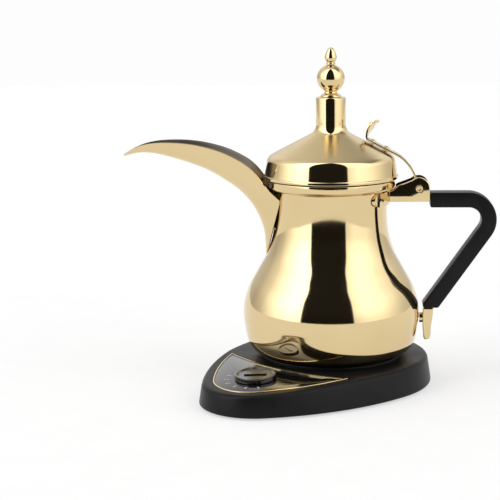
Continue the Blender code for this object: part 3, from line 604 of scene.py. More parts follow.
# ---------------------------------------------------------------- lid

COLUMN_R = 10.2
COLUMN_TOP_Z = 197.0
LID_TOP = [(2.3, COLUMN_TOP_Z), (COLUMN_R, COLUMN_TOP_Z), (COLUMN_R, 190.0)]
LID_FLARE = [(COLUMN_R, 190.0), (COLUMN_R, 173.9), (36.0, 160.4)]
LID_SHOULDER = [(36.0, 160.4), (43.5, 156.4), (44.8, 150.0)]
LID_BAND = [(44.8, 150.0), (45.4, 144.3), (46.0, 143.9), (46.0, 142.1)]
LID_INSIDE = [(44.9, 142.1), (44.2, 144.6), (43.2, 152.6), (41.2, 156.0), (35.4, 159.4), (24.4, 164.8),
              (13.4, 170.8), (9.4, 174.4), (9.2, 178.0), (9.2, COLUMN_TOP_Z - SHEET),
              (2.3, COLUMN_TOP_Z - SHEET)]


def make_lid():
    """The lid's shell, whose rivet holes come with the strap."""
    outer = eased(LID_TOP, 1.5, 5)[:-1] + eased(LID_FLARE, 4.6, 12)[1:-1]
    outer += eased(LID_SHOULDER, 3.4, 10)[:-1] + eased(LID_BAND, 0.5, 3)[1:]
    return turn("lid_shell", [*outer, *LID_INSIDE, outer[0]], ROUND_STEPS)


def make_lid_lining():
    """The liner that closes the lid from below, and the gasket under it."""
    brim = [(38.0, 141.8), (40.2, 141.8), (40.2, 143.6), (43.0, 143.6), (43.1, 142.6), (41.0, 142.6),
            (41.0, 140.6), (38.0, 140.6)]
    liner = turn("lid_liner", [(0.0, 141.8), *eased(brim, 0.3, 2), (0.0, 140.6)])
    hand_in(liner, POT_PLACE, "lid", "lid_liner", STEEL)
    seal = [(39.8, 140.2), (40.6, 140.2), (40.9, 139.2), (40.4, 138.0), (38.9, 138.0), (38.9, 140.2),
            (39.8, 140.2)]
    gasket = turn("lid_gasket", eased(seal, 0.35, 3))
    hand_in(gasket, POT_PLACE, "lid", "lid_gasket", SILICONE)


BALL_Z = 209.5
BALL_R = 9.5
BALL_TOP_Z = 218.7


def make_finial():
    """A ball on a waisted foot, with a blind hole for the stud, and an egg-shaped tip."""
    top_angle = math.asin((BALL_TOP_Z - BALL_Z) / BALL_R)
    ball = arc((0.0, BALL_Z), BALL_R, top_angle, math.radians(-58.0), 28)
    waist = smooth([ball[-1], (4.3, 200.9), (4.35, 200.2), (4.9, 199.4), (6.3, 198.6), (6.9, 198.0),
                    (7.0, COLUMN_TOP_Z + GAP)], 4)
    foot = [(2.3, COLUMN_TOP_Z + GAP), (2.3, 208.5), (0.0, 208.5)]
    finial = turn("finial_ball", [(0.0, BALL_TOP_Z), *ball[:-1], *waist, *foot], 72)
    hand_in(finial, POT_PLACE, "lid", "finial_ball", GOLD, 40.0)
    bud = smooth([(0.0, 230.3), (1.0, 230.15), (1.9, 229.5), (2.7, 228.2), (3.4, 226.4), (4.0, 224.3),
                  (4.1, 223.0), (3.7, 221.7), (3.0, 220.5), (2.9, 220.0), (3.4, 219.6), (3.4, 219.2),
                  (3.2, BALL_TOP_Z + GAP)], 4)
    tip = turn("finial_tip", [*bud, (0.0, BALL_TOP_Z + GAP)], 64)
    hand_in(tip, POT_PLACE, "lid", "finial_tip", GOLD, 40.0)


STRAP_FLAT = [(24.6, 168.1), (40.6, 159.9)]
STRAP_CURVE = [STRAP_FLAT[1], (45.6, 157.3), (49.8, 154.2), (54.2, 149.0), (57.0, 143.6), (58.9, 137.5)]
LEVER_CURVE = [(31.9, 179.6), (30.3, 180.3), (28.7, 178.9), (24.9, 171.2), STRAP_FLAT[0]]
STRAP_HALF = 5.8
STRAP_T = 1.5
LEVER_TAPER = ((173.0, 0.92), (177.0, 0.92), (179.4, 0.8))     # above this height, narrowed by this share
LEVER_TWIST = math.radians(6.0)
LEVER_TWISTED_AT = (170.0, 171.5, 173.5, 175.5)
LEVER_FOOT = Vector((27.0, 0.0, 172.0)) * MM
EYE_HALF = 5.95               # the eye stands a little proud of the strip's edges
RIVET_SHARES = (0.24, 0.82)   # along the strap's flat stretch
RIVET_R = 1.35
RIVET_LENGTH = 7.5
PIN_R = 1.9


def rivet_place(share):
    """Where a rivet's head sits on the strap, with its own Z along the rivet."""
    start = Vector(STRAP_FLAT[0])
    end = Vector(STRAP_FLAT[1])
    along = (end - start).normalized()
    up = Vector((-along.y, along.x))
    spot = start + (end - start) * share + up * (STRAP_T / 2 + GAP)
    return (Matrix.Translation(Vector((spot.x, 0.0, spot.y)) * MM)
            @ Matrix.Rotation(math.atan2(up.x, up.y), 4, "Y"))


def make_strap(lid):
    """The hinge strap: a strip bent along its line, its lever narrowed and curled over at the end."""
    path = smooth(LEVER_CURVE, 5)[:-1] + smooth(STRAP_CURVE, 5)
    strap = draw("lid_strap", path)
    open_mesh(strap)
    bpy.ops.transform.translate(value=(0.0, -STRAP_HALF * MM, 0.0))
    bpy.ops.mesh.extrude_region_move(TRANSFORM_OT_translate={"value": (0.0, 2 * STRAP_HALF * MM, 0.0)})
    close_mesh()
    for height, share in LEVER_TAPER:
        choose(strap, "vertices", lambda vert: vert.co.z > height * MM)
        bpy.ops.transform.resize(value=(1.0, share, 1.0), center_override=(0.0, 0.0, 0.0))
        close_mesh()
    for height in LEVER_TWISTED_AT:
        choose(strap, "vertices", lambda vert: vert.co.z > height * MM)
        bpy.ops.transform.rotate(value=LEVER_TWIST, orient_axis="Z", center_override=LEVER_FOOT)
        close_mesh()
    thicken(strap, STRAP_T, 0.0)
    clean(strap)
    soften(strap, 0.42, 3, 60.0)
    eye = rod("eye", 3.3, (PIN_X, -EYE_HALF, PIN_Z), (PIN_X, EYE_HALF, PIN_Z), 48)
    soften(eye, 0.3, 2, 60.0)
    for holed in (strap, eye):
        cut(holed, rod("pin_hole", PIN_R + GAP + 0.1, (PIN_X, -9.0, PIN_Z), (PIN_X, 9.0, PIN_Z), 40))
    gather(strap, eye)
    for number, share in enumerate(RIVET_SHARES, 1):
        place = rivet_place(share)
        for holed in (strap, lid):
            hole = rod("rivet_hole", 1.7, (0.0, 0.0, -12.0), (0.0, 0.0, 3.0), 24)
            settle(hole, place)
            cut(holed, hole)
        head = smooth([(0.55, 0.35), (0.75, 0.7), (1.15, 0.85), (1.7, 0.65), (2.2, 0.3), (2.4, 0.0)], 3)
        shank = [(RIVET_R, 0.0), (RIVET_R, -RIVET_LENGTH), (0.0, -RIVET_LENGTH)]
        rivet = turn(f"strap_rivet_{number}", [(0.0, 0.3), *head, *shank], 32)
        hand_in(rivet, POT_PLACE @ place, "lid", f"strap_rivet_{number}", GOLD, 45.0)
    hand_in(strap, POT_PLACE, "lid", "lid_strap", GOLD, 35.0)
    hand_in(lid, POT_PLACE, "lid", "lid_shell", LID_GOLD, 25.0)


# ---------------------------------------------------------------- hinge bracket and pin

EAR_OUT_Y = 8.5
EAR_IN_Y = 6.2
BRACKET_END_X = 67.4
BRACKET_LOW_Z = 126.1
BRACKET_WALL = 2.9
GRIP_SCREW_Z = 129.6
SCREW_HOLE_R = 1.8
BAND_R = 39.0                 # the saddle band, bent round the neck
BAND_T = 1.5
BAND_LOW = 124.6
BAND_HIGH = 133.4
BAND_HALF_ANGLE = math.radians(45.0)
EAR_LEAN = math.radians(2.0)  # the ears lean in a little toward their tops


def make_saddle():
    """The band that holds the bracket to the neck, with round ends."""
    sweep = arc((0, 0), BAND_R + BAND_T, -BAND_HALF_ANGLE, BAND_HALF_ANGLE, 48)
    sweep += arc((0, 0), BAND_R, BAND_HALF_ANGLE, -BAND_HALF_ANGLE, 48)
    saddle = flat_plate("saddle", sweep, BAND_LOW, BAND_HIGH)
    middle = (BAND_LOW + BAND_HIGH) / 2
    end_round = (BAND_HIGH - BAND_LOW) / 2
    reach = BAND_R * math.sin(BAND_HALF_ANGLE) - end_round
    stadium = arc((reach, middle), end_round, -math.pi / 2, math.pi / 2, 16)
    stadium += arc((-reach, middle), end_round, math.pi / 2, 3 * math.pi / 2, 16)
    trimmer = plate("trimmer", stadium, -50.0, -20.0)
    settle(trimmer, Matrix.Rotation(math.radians(90.0), 4, "Z"))
    combine(saddle, trimmer, "INTERSECT")
    soften(saddle, 0.4, 2, 60.0)
    return saddle


def make_bracket():
    """The hinge bracket with its two ears, saddle and pin."""
    outline = [(BAND_R + 0.5, BRACKET_LOW_Z), (BRACKET_END_X, BRACKET_LOW_Z)]
    outline += arc((PIN_X, PIN_Z), BRACKET_END_X - PIN_X, 0.0, math.radians(112.0), 24)
    outline += smooth([(54.9, 140.6), (50.4, 138.8), (46.0, 137.2), (44.4, 136.0), (BAND_R + 4.0, 134.6),
                       (BAND_R + 0.5, 133.2)], 4)
    bracket = plate("hinge_bracket", outline, -EAR_OUT_Y, EAR_OUT_Y)
    for side in (-1, 1):
        choose(bracket, "polygons", lambda face: face.normal.y * side > 0.9)
        bpy.ops.transform.rotate(value=-side * EAR_LEAN, orient_axis="X",
                                 center_override=Vector((PIN_X, side * EAR_OUT_Y, BRACKET_LOW_Z)) * MM)
        close_mesh()
    soften(bracket, 0.8, 4, 45.0)
    cut(bracket, block("ear_slot", (44.5, -EAR_IN_Y, BRACKET_LOW_Z + 1.1),
                       (BRACKET_END_X - BRACKET_WALL, EAR_IN_Y, 150.0)))
    cut(bracket, block("strap_way", (PIN_X, -EAR_IN_Y, 133.2), (BRACKET_END_X + 3.0, EAR_IN_Y, 150.0)))
    cut(bracket, rod("pin_hole", PIN_R + GAP, (PIN_X, -12.0, PIN_Z), (PIN_X, 12.0, PIN_Z), 40))
    cut(bracket, rod("screw_hole", SCREW_HOLE_R, (60.0, 0.0, GRIP_SCREW_Z), (75.0, 0.0, GRIP_SCREW_Z)))
    gather(bracket, make_saddle())
    hand_in(bracket, POT_PLACE, "pot", "hinge_bracket", GOLD, 35.0)

    head = EAR_OUT_Y + GAP
    half = eased([(PIN_R, 0.0), (PIN_R, head), (2.4, head), (2.4, head + 1.0), (1.1, head + 1.0), (1.1, 0.0)],
                 0.3, 3)
    other_half = [(radius, -height) for radius, height in half[::-1]]
    pin = turn("hinge_pin", [*half, *other_half[1:]], 40)
    place = (POT_PLACE @ Matrix.Translation(Vector((PIN_X, 0.0, PIN_Z)) * MM)
             @ Matrix.Rotation(math.radians(90.0), 4, "X"))
    hand_in(pin, place, "pot", "hinge_pin", GOLD, 40.0)


# ---------------------------------------------------------------- grip and its foot

GRIP_T = 10.3
GRIP_WIDTH = 14.0
GRIP_REACH = 112.9
GRIP_START_X = 67.7
GRIP_TOP_Z = 126.9
GRIP_BEND_R = 13.8
GRIP_SLANT = math.radians(55.0)
GRIP_END_Z = 51.6
GRIP_HEEL_X = 63.2
GRIP_ROUND = 2.8
GRIP_STUD_X = 67.6
FOOT_BOSS_Z = 43.7
FOOT_HALF = 5.5


def make_grip():
    """Level bar, round bend and slanting bar in one outline, with generously rounded edges."""
    slant = Vector((math.cos(GRIP_SLANT), math.sin(GRIP_SLANT)))
    centre = (GRIP_REACH - GRIP_T / 2 - GRIP_BEND_R, GRIP_TOP_Z - GRIP_BEND_R)
    last_angle = GRIP_SLANT - math.pi / 2
    outer = arc(centre, GRIP_BEND_R + GRIP_T / 2, math.pi / 2, last_angle, 32)
    inner = arc(centre, GRIP_BEND_R - GRIP_T / 2, math.pi / 2, last_angle, 32)
    outer_end = Vector(outer[-1]) - slant * ((outer[-1][1] - GRIP_END_Z) / slant.y)
    inner_end = Vector(inner[-1]) - slant * ((inner[-1][0] - GRIP_HEEL_X) / slant.x)
    outline = [(GRIP_START_X, GRIP_TOP_Z + GRIP_T / 2), *outer, tuple(outer_end),
               (GRIP_HEEL_X + 0.5, GRIP_END_Z), tuple(inner_end), *inner[::-1],
               (GRIP_START_X, GRIP_TOP_Z - GRIP_T / 2)]
    grip = plate("handle_grip", outline, -GRIP_WIDTH / 2, GRIP_WIDTH / 2)
    soften(grip, GRIP_ROUND, 6, 40.0)
    joint = Vector((GRIP_STUD_X, 0.0, GRIP_END_Z))
    along = Vector((slant.x, 0.0, slant.y))
    cut(grip, rod("screw_hole", SCREW_HOLE_R, (GRIP_START_X - 3.0, 0.0, GRIP_SCREW_Z),
                  (GRIP_START_X + 16.0, 0.0, GRIP_SCREW_Z)))
    cut(grip, rod("stud_hole", SCREW_HOLE_R, joint - along * 3.6, joint + along * 13.0))
    hand_in(grip, POT_PLACE, "pot", "handle_grip", GRIP_BLACK, 35.0)

    top = GRIP_END_Z - GAP
    front = smooth([(70.8, top), (70.2, 45.0), (69.2, 38.0), (68.9, 32.0), (68.2, 29.8)], 4)
    back = smooth([(64.6, 29.4), (64.0, 31.5), (63.5, 38.0), (63.3, 45.0), (63.7, top)], 4)
    foot = plate("handle_foot", [*front, (67.4, 29.1), (65.4, 29.0), *back], -FOOT_HALF, FOOT_HALF)
    soften(foot, 0.9, 4, 45.0)
    weld(foot, rod("boss", 3.6, (61.2, 0.0, FOOT_BOSS_Z), (66.0, 0.0, FOOT_BOSS_Z), 48))
    cut(foot, rod("stud_hole", SCREW_HOLE_R, joint - along * 3.6, joint + along * 13.0))
    hand_in(foot, POT_PLACE, "pot", "handle_foot", GOLD, 35.0)


# ---------------------------------------------------------------- underside of the pot and its connector

COVER_Z = 21.7
COVER_SCREW_R = 40.5
COVER_SCREWS = 3


def make_underside():
    """The pot's bottom cover, and the socket that drops over the post."""
    ring = eased([(30.0, COVER_Z + 1.6), (45.6, COVER_Z + 1.6), (45.6, COVER_Z), (18.4, COVER_Z),
                  (18.4, COVER_Z + 1.6), (30.0, COVER_Z + 1.6)], 0.35, 3)
    cover = turn("bottom_cover", ring)
    for number in range(COVER_SCREWS):
        angle = math.tau * number / COVER_SCREWS + math.radians(90.0)
        spot = (COVER_SCREW_R * math.cos(angle), COVER_SCREW_R * math.sin(angle))
        cut(cover, rod("screw_hole", SCREW_HOLE_R, (*spot, 18.0), (*spot, 26.0)))
    hand_in(cover, POT_PLACE, "pot", "bottom_cover", HOUSING_BLACK)
    socket = [(0.0, 28.6), *eased([(21.0, 28.6), (22.0, 28.6), (22.0, COVER_Z + 2.1), (18.0, COVER_Z + 2.1),
                                   (18.0, SEAT_Z + 0.7), (15.8, SEAT_Z + 0.7), (15.8, 27.2), (6.4, 27.2),
                                   (6.4, 18.6), (3.0, 18.6), (3.0, 26.4), (1.0, 26.4)], 0.35, 3), (0.0, 26.4)]
    connector = turn("pot_connector", socket, 80)
    hand_in(connector, POT_PLACE, "connector", "pot_connector", INNER_PLASTIC)


# ---------------------------------------------------------------- base

BASE_LIFT = 1.2               # table to the housing's lower edge
WALL_DRAFT = 2.6              # how far the walls lean in from bottom to top
SHELL = 2.2                   # thickness of the housing
POST_R = 14.8
WELL_R = 9.0
SEAT_R = 49.0
SEAT_HEIGHT = 1.5
LIP = 2.0                     # upright strip along the housing's lower edge
TOP_ROUND = 2.8
LOW_ROUND = 1.4
EGG_TRUE = 0.5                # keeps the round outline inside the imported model's flats
PANEL_MARGIN = 9.6            # housing edge to the gold frame
PANEL_DEPTH = 1.4
PANEL_ARC_R = 167.0
PANEL_ARC_S = 55.0
TRIM_WIDTH = 1.3
KNOB_R = 14.0
KNOB_HEIGHT = 4.0
SHAFT_R = 3.0
GLAND_Z = 8.5
GLAND_HOLE_R = 4.3
SIDE_S = (BASE_NOSE_S ** 2 + (BASE_SIDE_R - BASE_BACK_R) ** 2
          - (BASE_SIDE_R - BASE_NOSE_R) ** 2) / (2 * BASE_NOSE_S)
SIDE_W = math.sqrt((BASE_SIDE_R - BASE_BACK_R) ** 2 - SIDE_S ** 2)


def egg(inset):
    """The base's outline, moved inward: back arc, side arc, nose arc, side arc."""
    back = math.atan2(SIDE_W, -SIDE_S)
    nose = math.atan2(SIDE_W, BASE_NOSE_S - SIDE_S)
    side = BASE_SIDE_R - inset
    points = arc((0, 0), BASE_BACK_R - inset, back, math.tau - back, 56)[:-1]
    points += arc((SIDE_S, SIDE_W), side, math.tau - back, math.tau - nose, 16)[:-1]
    points += arc((BASE_NOSE_S, 0), BASE_NOSE_R - inset, -nose, nose, 32)[:-1]
    points += arc((SIDE_S, -SIDE_W), side, nose, back, 16)[:-1]
    return points


def panel_outline(inset):
    """The panel's edge on the sloping top: the egg outline beyond an arc that faces the pot."""
    arc_r = PANEL_ARC_R + inset
    centre_s = PANEL_ARC_S - PANEL_ARC_R
    side_r = BASE_SIDE_R - PANEL_MARGIN - inset
    away = Vector((SIDE_S - centre_s, -SIDE_W))
    along = (arc_r ** 2 - side_r ** 2 + away.length_squared) / (2 * away.length)
    across = math.sqrt(arc_r ** 2 - along ** 2)
    unit = away.normalized()
    corner = Vector((centre_s, 0)) + unit * along + Vector((-unit.y, unit.x)) * across
    corner_angle = math.atan2(corner.y, corner.x - centre_s)
    start = math.atan2(corner.y + SIDE_W, corner.x - SIDE_S)
    nose = math.atan2(SIDE_W, BASE_NOSE_S - SIDE_S)
    points = arc((centre_s, 0), arc_r, -corner_angle, corner_angle, 32)[:-1]
    points += arc((SIDE_S, -SIDE_W), side_r, start, nose, 12)[:-1]
    points += arc((BASE_NOSE_S, 0), BASE_NOSE_R - PANEL_MARGIN - inset, nose, -nose, 36)[:-1]
    points += arc((SIDE_S, SIDE_W), side_r, -nose, -start, 12)[:-1]
    return [(s - SLOPE_START_S, w) for s, w in points]


def drafted_egg(name, inset, low, high, fall):
    """An egg-shaped solid whose wall leans in, its top trimmed to the slope that lies fall below it."""
    obj = flat_plate(name, egg(inset), low, low + LIP)
    choose(obj, "polygons", lambda face: face.normal.z > 0.9)
    bpy.ops.mesh.inset(thickness=WALL_DRAFT * MM, depth=(high - low - LIP) * MM)
    bpy.ops.mesh.select_all(action="SELECT")
    tilt = Matrix.Rotation(SLOPE, 3, "Y")
    through = Vector((SLOPE_START_S, 0.0, SEAT_Z)) * MM + tilt @ Vector((0.0, 0.0, -fall * MM))
    bpy.ops.mesh.bisect(plane_co=through, plane_no=tilt @ Vector((0.0, 0.0, 1.0)), use_fill=True,
                        clear_outer=True)
    close_mesh()
    clean(obj)
    return obj


SHARP = 0.6                   # cosine of the least turn that counts as a corner


def corners(obj):
    """The edges where two faces meet at a corner."""
    sides = {}
    for face in obj.data.polygons:
        for key in face.edge_keys:
            sides.setdefault(key, []).append(face.normal.copy())
    return {key for key, normals in sides.items() if len(normals) == 2 and normals[0].dot(normals[1]) < SHARP}


def round_corners(obj, radius, segments, low, high):
    """Round the corners whose edges lie between two heights."""
    sharp = corners(obj)

    def between(edge):
        heights = [obj.data.vertices[i].co.z for i in edge.vertices]
        return edge.key in sharp and low * MM < min(heights) and max(heights) < high * MM

    choose(obj, "edges", between)
    bpy.ops.mesh.bevel(offset=radius * MM, segments=segments, affect="EDGES", clamp_overlap=True)
    close_mesh()


def make_housing():
    """The hollow housing with its round seat and the openings for the panel, post, knob and cord."""
    housing = drafted_egg("base_housing", EGG_TRUE, BASE_LIFT, SEAT_Z, 0.0)
    round_corners(housing, TOP_ROUND, 6, 8.0, SEAT_Z + 1.0)
    round_corners(housing, LOW_ROUND, 4, 0.0, BASE_LIFT + 0.1)
    seat = rod("seat", SEAT_R, (0.0, 0.0, SEAT_Z - SEAT_HEIGHT), (0.0, 0.0, SEAT_Z + SEAT_HEIGHT),
               ROUND_STEPS)
    soften(seat, 0.6, 3, 60.0)
    weld(housing, seat)
    hollow = drafted_egg("hollow", SHELL, BASE_LIFT - 4.0, SEAT_Z - SHELL, PANEL_DEPTH + 2.0)
    cut(housing, hollow)
    recess = flat_plate("recess", panel_outline(-GAP), -PANEL_DEPTH - GAP, 3.0)
    settle(recess, BASE_PLACE.inverted() @ PANEL_PLACE)
    cut(housing, recess)
    cut(housing, rod("post_hole", POST_R + GAP, (0.0, 0.0, SEAT_Z - 6.0), (0.0, 0.0, SEAT_Z + 6.0), 64))
    shaft_hole = rod("shaft_hole", SHAFT_R + 0.6, (0.0, 0.0, -9.0), (0.0, 0.0, 5.0))
    settle(shaft_hole, BASE_PLACE.inverted() @ KNOB_PLACE)
    cut(housing, shaft_hole)
    cut(housing, rod("gland_hole", GLAND_HOLE_R, (-BASE_BACK_R - 4.0, 0.0, GLAND_Z),
                     (-BASE_BACK_R + 8.0, 0.0, GLAND_Z)))
    hand_in(housing, BASE_PLACE, "base", "base_housing", HOUSING_BLACK, 35.0)


def make_panel():
    """The glossy panel and the gold frame round it."""
    panel = flat_plate("control_panel", panel_outline(TRIM_WIDTH), 0.15 - PANEL_DEPTH, 0.15)
    soften(panel, 0.15, 2, 60.0)
    hole = rod("panel_hole", SHAFT_R + 0.6, (38.0, 0.0, -4.0), (38.0, 0.0, 4.0))
    cut(panel, hole)
    hand_in(panel, PANEL_PLACE, "base", "control_panel", GLOSS)

    trim = flat_plate("panel_trim", panel_outline(0.0), 0.35 - PANEL_DEPTH, 0.35)
    soften(trim, 0.25, 3, 60.0)
    cut(trim, flat_plate("trim_inside", panel_outline(TRIM_WIDTH - GAP), -4.0, 4.0))
    hand_in(trim, PANEL_PLACE, "base", "panel_trim", GOLD)


MARK_RADIUS = 19.6
MARK_FIRST = math.radians(-100.0)
MARK_STEP = math.radians(24.5)
MARK_COUNT = 7


def make_marks():
    """Plain printed strokes round the knob, one modelled and the others copied."""
    stroke = block("printed_mark_1", (MARK_RADIUS - 1.8, -0.7, 0.12), (MARK_RADIUS + 1.8, 0.7, 0.22))
    choose(stroke, "edges", lambda edge: abs(stroke.data.vertices[edge.vertices[0]].co.z
                                             - stroke.data.vertices[edge.vertices[1]].co.z) > 0.05 * MM)
    bpy.ops.mesh.bevel(offset=0.6 * MM, segments=4, affect="EDGES")
    close_mesh()
    strokes = [stroke]
    for number in range(2, MARK_COUNT + 1):
        copy = bpy.data.objects.new(f"printed_mark_{number}", stroke.data.copy())
        bpy.context.scene.collection.objects.link(copy)
        strokes.append(copy)
    for number, copy in enumerate(strokes):
        settle(copy, KNOB_PLACE @ Matrix.Rotation(MARK_FIRST + MARK_STEP * number, 4, "Z"))
        copy.data.materials.clear()
        copy.data.materials.append(PRINT)
        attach(copy, "base")


KNOB_RIM = 1.7
POINTER_ANGLE = math.radians(128.0)


def make_knob():
    """A dished knob with a rounded rim and a raised pointer bar."""
    dish = KNOB_HEIGHT - 1.0
    rim = [(4.0, dish), (KNOB_R - KNOB_RIM - 1.0, dish), (KNOB_R - KNOB_RIM, KNOB_HEIGHT),
           (KNOB_R - 0.1, KNOB_HEIGHT), (KNOB_R, 0.5), (KNOB_R - 3.0, 0.5)]
    socket = [(SHAFT_R - 1.0, 0.5), (SHAFT_R - 1.0, 2.2), (0.0, 2.2)]
    knob = turn("selector_knob", [(0.0, dish), *eased(rim, 0.55, 4), *socket])
    bar = block("pointer", (-7.5, -1.5, 2.6), (7.5, 1.5, KNOB_HEIGHT - 0.15))
    soften(bar, 0.5, 3, 60.0)
    settle(bar, Matrix.Rotation(POINTER_ANGLE, 4, "Z"))
    weld(knob, bar)
    hand_in(knob, KNOB_PLACE, "knob", "selector_knob", GLOSS, 40.0)


def make_post():
    """The power post that the pot drops over, with its two contacts in the well."""
    high = SEAT_Z + SEAT_HEIGHT + 6.2
    floor = SEAT_Z - 3.0
    under = SEAT_Z - SHELL - GAP
    profile = [(0.0, floor), *eased([(WELL_R - 2.0, floor), (WELL_R, floor), (WELL_R, high), (POST_R, high),
                                     (POST_R, under), (POST_R + 5.0, under), (POST_R + 5.0, under - 3.5),
                                     (POST_R, under - 3.5)], 0.7, 4), (0.0, under - 3.5)]
    post = turn("power_post", profile, 80)
    hand_in(post, BASE_PLACE, "base", "power_post", INNER_PLASTIC)
    top = high - 1.0
    low = floor + GAP
    nose = smooth([(0.9, top - 0.05), (1.7, top - 0.4), (2.2, top - 1.2)], 3)
    pin = turn("post_centre_pin", [(0.0, top), *nose, (2.2, low), (0.0, low)], 40)
    hand_in(pin, BASE_PLACE, "base", "post_centre_pin", BRASS)
    ring = turn("post_ring_contact", eased([(8.0, top), (8.6, top), (8.6, low), (7.4, low), (7.4, top),
                                            (8.0, top)], 0.25, 2), 80)
    hand_in(ring, BASE_PLACE, "base", "post_ring_contact", BRASS)


# ---------------------------------------------------------------- camera and studio

CAMERA_BACK = 978.3           # from the pot's axis, square to the spout and handle
CAMERA_SIDE = 10.8
CAMERA_HEIGHT = 274.3
CAMERA_PITCH = 10.5
CAMERA_TURN = 3.92
CAMERA_ROLL = -0.65
LENS = 103.2


def make_camera():
    """The view: level with the lid, looking down a little."""
    camera = bpy.data.cameras.new("view")
    camera.lens = LENS
    camera.sensor_width = 36.0
    camera.clip_end = 100.0
    seat = bpy.data.objects.new("view", camera)
    bpy.context.scene.collection.objects.link(seat)
    seat.location = POT_AXIS + Vector((CAMERA_SIDE, -CAMERA_BACK, CAMERA_HEIGHT)) * MM
    yaw = Matrix.Rotation(math.radians(CAMERA_TURN), 3, "Z")
    tilt = Matrix.Rotation(math.radians(90.0 - CAMERA_PITCH), 3, "X")
    roll = Matrix.Rotation(math.radians(CAMERA_ROLL), 3, "Z")
    seat.rotation_euler = (yaw @ tilt @ roll).to_euler()
    bpy.context.scene.camera = seat


# Brightness round the studio, by compass angle from the front, positive to the right
STUDIO_LIGHT = [(-180, 1.0), (-150, 0.95), (-127, 0.75), (-106, 1.05), (-90, 1.7), (-75, 2.4), (-62, 2.8),
                (-50, 2.95), (-39.5, 2.5), (-38, 0.017), (29.5, 0.017), (31, 1.5), (48, 2.05), (61, 2.05),
                (74, 1.95), (88, 1.6), (110, 1.15), (130, 0.95), (180, 1.0)]
LOW_LIGHT = 0.72              # share of that light near the horizon
LIGHT_SCALE = 4.0             # the ramp holds colours up to 1, so it is scaled
CEILING = 0.62                # overhead and behind, brighter on the left
CEILING_SLANT = -0.55
CEILING_LEAST = 0.3
# The next three are from one sine to another, of the angle above the table or toward the back
WALL_RISE = (0.03, 0.42)      # the walls reach their full light
CEILING_RISE = (0.50, 0.72)   # the walls give way to the ceiling
CEILING_DEPTH = (-0.15, 0.15)  # the ceiling starts above the pot and runs back
BACKDROP = 0.985


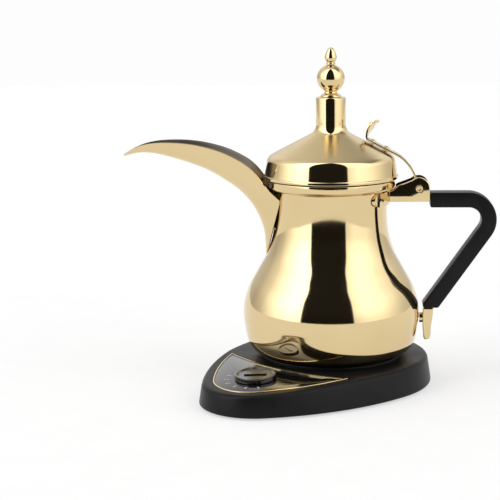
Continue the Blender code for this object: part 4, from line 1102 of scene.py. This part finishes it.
def make_world():
    """White all round to the eye, and a studio of panels, dark doorway and dim ceiling to the metal."""
    world = bpy.data.worlds.new("studio")
    bpy.context.scene.world = world
    world.use_nodes = True
    tree = world.node_tree
    background = tree.nodes["Background"]

    def math_node(operation, *values):
        node = tree.nodes.new("ShaderNodeMath")
        node.operation = operation
        for socket, value in zip(node.inputs, values):
            if isinstance(value, (int, float)):
                socket.default_value = value
            else:
                tree.links.new(value, socket)
        return node.outputs[0]

    where = tree.nodes.new("ShaderNodeTexCoord")
    split = tree.nodes.new("ShaderNodeSeparateXYZ")
    tree.links.new(where.outputs["Generated"], split.inputs[0])
    around = math_node("ARCTAN2", split.outputs[0], math_node("MULTIPLY", split.outputs[1], -1.0))
    share = math_node("MULTIPLY_ADD", around, 1.0 / math.tau, 0.5)
    ramp = tree.nodes.new("ShaderNodeValToRGB")
    tree.links.new(share, ramp.inputs[0])
    stops = ramp.color_ramp.elements
    while len(stops) > 1:
        stops.remove(stops[-1])
    for number, (angle, light) in enumerate(STUDIO_LIGHT):
        stop = stops[0] if number == 0 else stops.new((angle + 180.0) / 360.0)
        stop.position = (angle + 180.0) / 360.0
        value = light / LIGHT_SCALE
        stop.color = (value, value, value, 1.0)

    def step(value, start, end, low=0.0, high=1.0):
        node = tree.nodes.new("ShaderNodeMapRange")
        node.interpolation_type = "SMOOTHSTEP"
        for socket, number in zip(node.inputs[1:5], (start, end, low, high)):
            socket.default_value = number
        tree.links.new(value, node.inputs[0])
        return node.outputs[0]

    gain = step(split.outputs[2], *WALL_RISE, LOW_LIGHT * LIGHT_SCALE, LIGHT_SCALE)
    walls = math_node("MULTIPLY", ramp.outputs[0], gain)
    above = step(split.outputs[2], *CEILING_RISE)
    overhead = math_node("MULTIPLY", above, step(split.outputs[1], *CEILING_DEPTH))
    slanted = math_node("MULTIPLY_ADD", split.outputs[0], CEILING_SLANT, CEILING)
    ceiling = math_node("MAXIMUM", slanted, CEILING_LEAST)
    blend = tree.nodes.new("ShaderNodeMix")
    tree.links.new(ceiling, blend.inputs["B"])
    tree.links.new(overhead, blend.inputs["Factor"])
    tree.links.new(walls, blend.inputs["A"])
    seen = tree.nodes.new("ShaderNodeLightPath")
    final = tree.nodes.new("ShaderNodeMix")
    final.inputs["B"].default_value = BACKDROP
    tree.links.new(seen.outputs["Is Camera Ray"], final.inputs["Factor"])
    tree.links.new(blend.outputs[0], final.inputs["A"])
    background.inputs["Color"].default_value = (1.0, 1.0, 1.0, 1.0)
    tree.links.new(final.outputs[0], background.inputs["Strength"])


FLOOR_FRONT = 1300.0          # how far the white table reaches toward the camera
FLOOR_REACH = 3000.0
FLOOR_GLOW = 0.57
FLOOR_WHITE = (0.42, 0.42, 0.42)
FLOOR_GREY = (0.41, 0.41, 0.41)


def make_floor():
    """The white table, lit so that it meets the backdrop."""
    bpy.ops.object.select_all(action="DESELECT")
    bpy.ops.mesh.primitive_plane_add(size=1.0)
    floor = bpy.context.object
    floor.name = "studio_floor"
    middle = Vector((0.0, (FLOOR_REACH - FLOOR_FRONT) / 2, 0.0)) * MM + POT_AXIS
    settle(floor, Matrix.Translation(middle)
           @ Matrix.Diagonal((2 * FLOOR_REACH * MM, (FLOOR_REACH + FLOOR_FRONT) * MM, 1.0, 1.0)))
    material, tree, shader = new_finish("white_table", FLOOR_WHITE, 0.9)
    shader.inputs["Specular IOR Level"].default_value = 0.0
    shader.inputs["Emission Color"].default_value = (1.0, 1.0, 1.0, 1.0)
    shader.inputs["Emission Strength"].default_value = FLOOR_GLOW
    grain = noise(tree, object_place(tree), 40.0, 3.0)
    tree.links.new(two_colors(tree, spread(tree, grain, 0.0, 1.0), FLOOR_WHITE, FLOOR_GREY),
                   shader.inputs["Base Color"])
    floor.data.materials.append(material)


make_camera()
make_world()
make_floor()
bpy.context.scene.view_settings.view_transform = "Standard"
dress_the_rest()
make_pot_body()
make_pot_floor()
make_spout()
make_strap(make_lid())
make_lid_lining()
make_finial()
make_bracket()
make_grip()
make_underside()
make_housing()
make_panel()
make_marks()
make_knob()
make_post()
